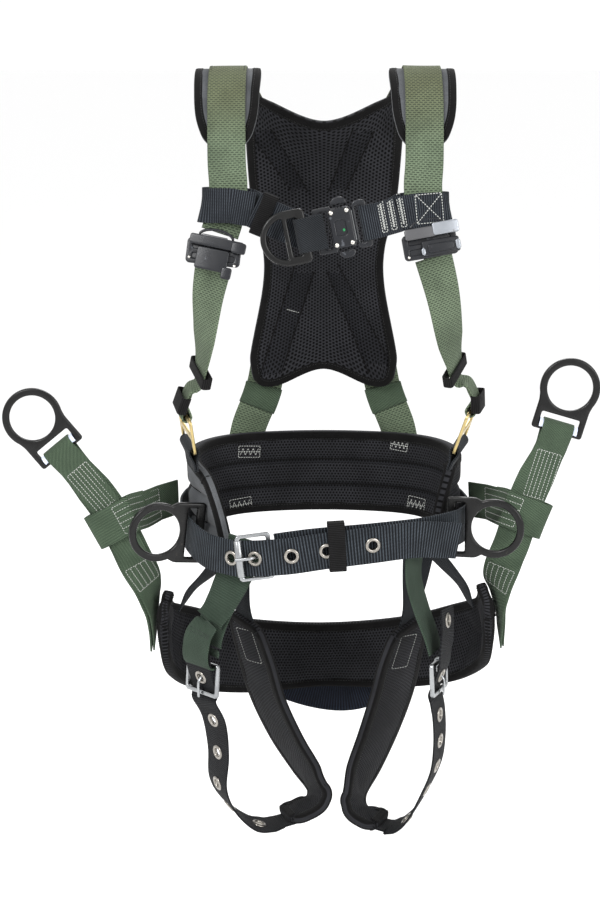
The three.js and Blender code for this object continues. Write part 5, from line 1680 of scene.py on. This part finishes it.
def chest():
    chest_strap("left", 1, 0, 3, -33, -21.25)
    chest_strap("right", -1, -5, 1, 48, 34.75)
    at, across = np.array([-72, -119.8, 380.5]), (0.14, 0.16, 0.97)
    way = unit(np.array([-58, -121.7, 375]) - np.array([-86, -117.9, 386]))
    band("chest_keeper", at, square_to(across, way), np.cross(way, square_to(across, way)), 48, 9, 17, 1.5,
         "elastic", "chest_keeper", ("chest_keeper",))
    tacks = [line for x, z in ((66, 380), (77, 382.5), (88.5, 385))
             for line in turned_box(x, z, 36, 6, 101, teeth=22)]
    tacks += turned_box(121, 388, 31, 33, 5)
    tacks += [((107, 371), (135, 405)), ((105, 403), (137, 373))]
    stitch_on("chest_tacks", on("chest_loop_right", "chest_run_right"), tacks, radius=0.5)
    chest_buckle()
    bar = chest_point(STERNAL_BAR_AT, 0, STERNAL_BAR_LIFT)
    plate("sternal_ring", arch_loops(22, 19, 32, 7.5), RING_T, 2.3, bar, CHEST_UP, (-0.95, -0.1, -0.2),
          "forged", "sternal_ring", ("sternal_d_ring",))
    tail = np.array([[*chest_point(x, 0, STERNAL_BAR_LIFT), *CHEST_UP] for x in (-13, -24)])
    strap("sternal_loop", around_bar(tail, bar, BAR_LOOP_R), "black", 40, pitch=2,
          stands_for=("sternal_loop",))


# ---------------------------------------------------------------- waist

def waist_pad():
    grid = grid_of(WAIST_ROWS, 20, 12)
    nu, nv = grid.shape[:2]
    down = np.linspace(0, 1, nu)[:, None] * np.ones(nv)[None, :]
    round_back = np.linspace(0, 1, nv)
    strong = np.clip((0.5 - np.abs(round_back - 0.5)) * 12, 0, 1)[None, :]
    sewn = np.maximum(*(np.exp(-((down - at) / 0.045) ** 2) for at in (0.36, 0.68))) * strong
    sheet = rounded_grid(grid, 16)
    obj = quilt("waist_pad_body", sheet, WAIST_PAD_T, "mesh", ("waist_pad",), sewn, round_off=12, puff=6)
    bind_grid("waist_pad_binding", sheet, WAIST_PAD_T, 11)
    obj.data.materials.append(MAT["grey"])
    obj.data.materials.append(MAT["shade_mesh"])
    sewn_at = sewn.ravel()
    for polygon in obj.data.polygons:
        # painted shade: the faces in the two sewn grooves take the darker mesh
        if sewn_at[polygon.vertices[0] % sewn_at.size] > 0.6:
            polygon.material_index = 2
        if polygon.center.x < -0.1 and polygon.center.y < 0.01 and polygon.normal.y < -0.2:
            polygon.material_index = 1
    normal = sheet_normals(sheet)
    parts = []
    for share in (0.36, 0.68):
        row = round(share * (nu - 1))
        for j in range(14, nv - 15):
            for face in (-1, 1):
                a, b = (sheet[row, k] + normal[row, k] * face * WAIST_PAD_T * 0.2 for k in (j, j + 1))
                parts.append(bead(a, b + (b - a) * 0.05, normal[row, j] * face, 0.8))
    points, faces = joined(parts)
    piece("waist_pad_grooves", points, faces, "binding")
    boxes = [(-95, 52, 27, 15, -3), (97, 61, 21, 14, -8), (-106, -17, 27, 17, 6), (119, -15, 21, 18, -8)]
    lines = []
    for x, z, width, height, turn in boxes:
        lines += turned_box(x, z, width, height, turn, rows=1, teeth=7)
    stitch_on("waist_pad_tacks", target(obj), lines, start=-20, pitch=2.9, length=2.2)
    return obj


def buckle_pieces(name, origin, x_axis, y_axis, out, prong_body, nodes):
    """The frame and sprung prong of a roller buckle. Its pivot bar lies on Y and its roller at +X."""
    frame_node, prong_node = nodes
    half = FRAME_BAR / 2
    window = rounded(half, -24.5, ROLLER_AT - half, 24.5, 2.4)[::-1]
    plate(f"{name}_frame", [rounded(-half, -28.5, ROLLER_AT + half, 28.5, 4.5), window], FRAME_BAR, 1.5,
          origin, x_axis, y_axis, "steel", stands_for=(frame_node,))
    bends = catmull(PRONG_BENDS, 5)
    path = [(x, y, 0) for x, y in bends if x > 3.2]
    body = rod(path, 1.4, 14, 1.43)
    ring = [(2.8, -2), (3.3, -2.3), (4.5, -2.3), (5, -1.8), (5, 1.8), (4.5, 2.3), (3.3, 2.3), (2.8, 2)]
    points, faces = joined([body, revolve(ring)])
    piece(f"{name}_prong", placed(points, origin, x_axis, out), faces, "steel", body=prong_body,
          stands_for=(prong_node,))


def waist_belt():
    run = strap("waist_belt", smooth(BELT, FINE), "belt", WEB, BELT_T, ("waist_belt",),
                [FINE * i for i in (19, 21, 23, 24, 25)])
    x = -unit(np.cross(BUCKLE_UP, BUCKLE_OUT))
    y = square_to(BUCKLE_UP, x)
    out = -np.cross(x, y)
    pivot = np.array(BUCKLE_PIVOT, float)
    buckle_pieces("waist_buckle", pivot, x, y, out, "waist_prong", ("waist_buckle_frame", "waist_buckle_prong"))
    wall = [(2.8, -22.3), (3.2, -22.6), (4.2, -22.6), (4.8, -22)]
    points, faces = revolve(wall + [(r, -h) for r, h in wall[::-1]])
    piece("waist_buckle_roller", placed(points, pivot + x * ROLLER_AT, np.cross(x, y), x), faces, "steel",
          body="waist_roller", stands_for=("waist_buckle_roller",))
    band("belt_keeper", (14, -130.3, -15), (-0.05, 0, 1), (0.05, -1, 0), 57, 14.5, 20, 1.8, "elastic",
         "belt_keeper", ("belt_keeper",))
    return run


def hip_rings():
    for side in SIDES:
        out = unit(HIP_OUT[side])
        lean = (0.11, 0, 1) if side == "left" else UP
        bar = np.array(HIP_SLOT[side]) - out * SLOT_Y
        d_ring(f"hip_ring_{side}", bar, lean, out, HIP_BAR_HALF, HIP_SLOT_HALF, f"hip_ring_{side}",
               f"hip_d_ring_{side}")


# ---------------------------------------------------------------- seat

def liner(side, bar, out):
    """The smooth sleeve between a seat ring's bar and its webbing, flared a little at its ends."""
    outer = BAR_LOOP_R + SLEEVE_T - WEB_T / 2 - 0.4
    turn = np.linspace(-10, 190, 22)
    rings = []
    for z in (-24, -23, -21.5, -10, 0, 10, 21.5, 23, 24):
        grow = {24: 0.7, 23: 0.5}.get(abs(z), 0)
        loop = [(outer + grow, a) for a in turn] + [(outer + grow - SLEEVE_T, a) for a in turn[::-1]]
        rings.append([(r * math.cos(math.radians(a)), r * math.sin(math.radians(a)), z) for r, a in loop])
    points, faces = skin(rings)
    piece(f"ring_liner_{side}", placed(points, bar, (0, -1, 0), out), faces, "sleeve",
          stands_for=(f"ring_liner_{side}",))


def seat_rings():
    for side in SIDES:
        bar, out = np.array(SEAT_RINGS[side]["bar"], float), np.array(SEAT_RINGS[side]["out"], float)
        across = np.array([out[2], 0, -out[0]])
        turn = across if side == "left" else -across
        path = smooth([*RISERS[side], [*(bar - 24 * out), *turn]], 12)
        run = strap(f"riser_{side}", around_bar(path, bar, BAR_LOOP_R + SLEEVE_T), "twill", pitch=2.6,
                    stands_for=(f"riser_{side}",), seed=3 + len(side), taper=(bar - 24 * out, 40, 8, 0.86))
        x, _, z = bar - 60 * out
        rows = turned_box(x, z, 60, 30, math.degrees(math.atan2(out[2], out[0])), 5)
        stitch_on(f"riser_box_{side}", on(f"riser_{side}"), rows)
        low = run.near(path[np.argmin(np.abs(path[:, 2] + 80))][:3])
        sew_box(f"riser_low_box_{side}", run, low - 18, low + 14, 17, 4)
        d_ring(f"seat_ring_{side}", bar, across, out, 32, 24.3, f"seat_ring_{side}", f"seat_d_ring_{side}")
        liner(side, bar, out)
        connector = strap(f"side_connector_{side}", CONNECTORS[side], "twill", pitch=2,
                          stands_for=(f"side_connector_{side}",), seed=1 + len(side))
        start, stop = (connector.near(CONNECTORS[side][k][:3]) for k in (1, 4))
        sew_box(f"connector_box_{side}", connector, start, stop - 4, 18.5, 4)


def seat_pad():
    grid = rounded_grid(grid_of(SEAT_ROWS, 13, 13), 14)
    obj = quilt("seat_pad_body", grid, SEAT_PAD_T, "mesh", ("seat_pad",), round_off=13, puff=6)
    bind_grid("seat_pad_binding", grid, SEAT_PAD_T, 11)
    strap("seat_webbing", smooth(SEAT_BAND, FINE), "band", stands_for=("seat_webbing",), seed=7)
    for side in SIDES:
        strap(f"seat_hanger_{side}", smooth(SEAT_HANGERS[side], FINE), "black", HANGER_W,
              stands_for=(f"seat_hanger_{side}",))
    return obj


# ---------------------------------------------------------------- legs

def leg_axes(leg):
    x = unit(leg["down"])
    z = square_to(leg["out"], x)
    return x, np.cross(z, x), z


def leg_wrap(leg, pivot, x, y, z):
    """The end of the left leg strap, folded over its buckle bar and sewn down in front."""
    stations = [[*(np.array(station[:3]) + z * 1.6), *station[3:]] for station in leg["strap"][-4:-1]]
    stations += [[*(pivot + x * fall + z * rise), *-y] for fall, rise in LEG_WRAP]
    fold = strap("leg_wrap_left", smooth(stations, FINE), "leg", width=WEB + 0.5, pitch=2)
    sewn = fold.near(stations[3][:3])
    half = WEB / 2 - 3
    rows = [((s, -half), (s, half)) for s in (sewn, sewn + 4)]
    sew("leg_wrap_rows_left", fold, rows, "shade", face=front_of(fold, sewn))


def leg(side):
    leg = LEGS[side]
    sign = 1 if side == "left" else -1
    x, y, z = leg_axes(leg)
    pivot = np.array(leg["pivot"], float)
    through = [[*(pivot + x * fall + z * rise), *(y * sign)] for fall, rise in LEG_THROUGH]
    stations = [*leg["tongue"], *through, *leg["tail"]]
    tongue = smooth(stations, FINE)
    tuck = tongue[0] + [sign * 22, 5, 5, 0, 0, 0]
    strap(f"leg_tongue_{side}", np.vstack([tuck, tongue]), "tongue", stands_for=(f"leg_tongue_{side}",),
          holes=[int(FINE * i) + 1 for i in (1.5, 3, 4, 5, 6, 9, *leg["tail_hole"])], seed=4 + len(side))
    buckle_pieces(f"leg_buckle_{side}", pivot, x, y, z, f"leg_prong_{side}",
                  (f"leg_buckle_frame_{side}", f"leg_buckle_prong_{side}"))
    above = [*(pivot - x * 12 - z * 3.5), *(-y * sign)]
    strap(f"leg_strap_{side}", smooth([*leg["strap"], above], FINE), "leg",
          stands_for=(f"leg_strap_{side}",), seed=6 + len(side))
    if side == "left":
        leg_wrap(leg, pivot, x, y, z)
    grid = rounded_grid(lobe_grid(leg["pad"], 18, 12), 14)
    pad = quilt(f"leg_pad_{side}_body", grid, LEG_PAD_T, "mesh", (f"leg_pad_{side}",), puff=5,
                lean=len(side))
    bind_grid(f"leg_pad_{side}_binding", grid, LEG_PAD_T, 12)
    behind = [[x, y + 7, z, *across[:3]] for x, y, z, *across in leg["pad"][:2]]
    strap(f"leg_hanger_{side}", smooth([*leg["hanger"], *behind], FINE), "black",
          stands_for=(f"leg_hanger_{side}",))
    place, turn = ((-94, -172), 16) if side == "left" else ((101, -180), -15)
    stitch_on(f"leg_pad_{side}_box", target(pad), turned_box(*place, 21, 46, turn), start=-70)


# ---------------------------------------------------------------- build

back_pad()
torso_straps()
dorsal_hardware()
front_straps()
adjuster("left", (-131, -121.5, 337), (0.97, -0.08, -0.1), -0.09, LEFT_BLOCKS)
adjuster("right", (122, -121.5, 346), (0.97, 0.08, 0.16), 0.0, RIGHT_BLOCKS)
chest()
waist_pad()
waist_belt()
hip_rings()
seat_rings()
seat_pad()
for side in SIDES:
    leg(side)


# ---------------------------------------------------------------- stage

def floor():
    material, _, shader = new_material("studio_floor")
    shader.inputs["Base Color"].default_value = (0.94, 0.94, 0.94, 1)
    shader.inputs["Roughness"].default_value = 0.9
    mesh = bpy.data.meshes.new("floor")
    z = cad_box[0][2] - 0.12
    mesh.from_pydata([(-20, -20, z), (20, -20, z), (20, 20, z), (-20, 20, z)], [], [(0, 1, 2, 3)])
    mesh.materials.append(material)
    obj = bpy.data.objects.new("floor", mesh)
    bpy.context.scene.collection.objects.link(obj)


def light(name, place, aim, size, power):
    data = bpy.data.lights.new(name, "AREA")
    data.shape = "DISK"
    data.size = size
    data.energy = power
    obj = bpy.data.objects.new(name, data)
    obj.location = place
    obj.rotation_euler = (Vector(aim) - Vector(place)).to_track_quat("-Z", "Y").to_euler()
    bpy.context.scene.collection.objects.link(obj)


def studio():
    floor()
    world = bpy.data.worlds.new("studio")
    world.use_nodes = True
    background = world.node_tree.nodes["Background"]
    background.inputs["Color"].default_value = (1, 1, 1, 1)
    background.inputs["Strength"].default_value = 1.05
    bpy.context.scene.world = world
    light("key", (-1.4, -2.2, 1.9), (0, 0, 0.1), 1.2, 60)
    light("fill", (1.8, -2.0, 1.0), (0, 0, 0.1), 1.5, 35)
    light("back", (0.3, 1.8, 1.8), (0, 0, 0.3), 1.2, 30)
    bpy.context.scene.view_settings.view_transform = "Standard"


def camera():
    tilt = math.radians(12)
    data = bpy.data.cameras.new("camera")
    data.lens = 96.7
    data.sensor_width = 36
    obj = bpy.data.objects.new("camera", data)
    obj.location = (-0.03, -3 * math.cos(tilt), 0.075 + 3 * math.sin(tilt))
    obj.rotation_euler = (math.radians(78), 0, 0)
    bpy.context.scene.collection.objects.link(obj)
    bpy.context.scene.camera = obj


studio()
camera()
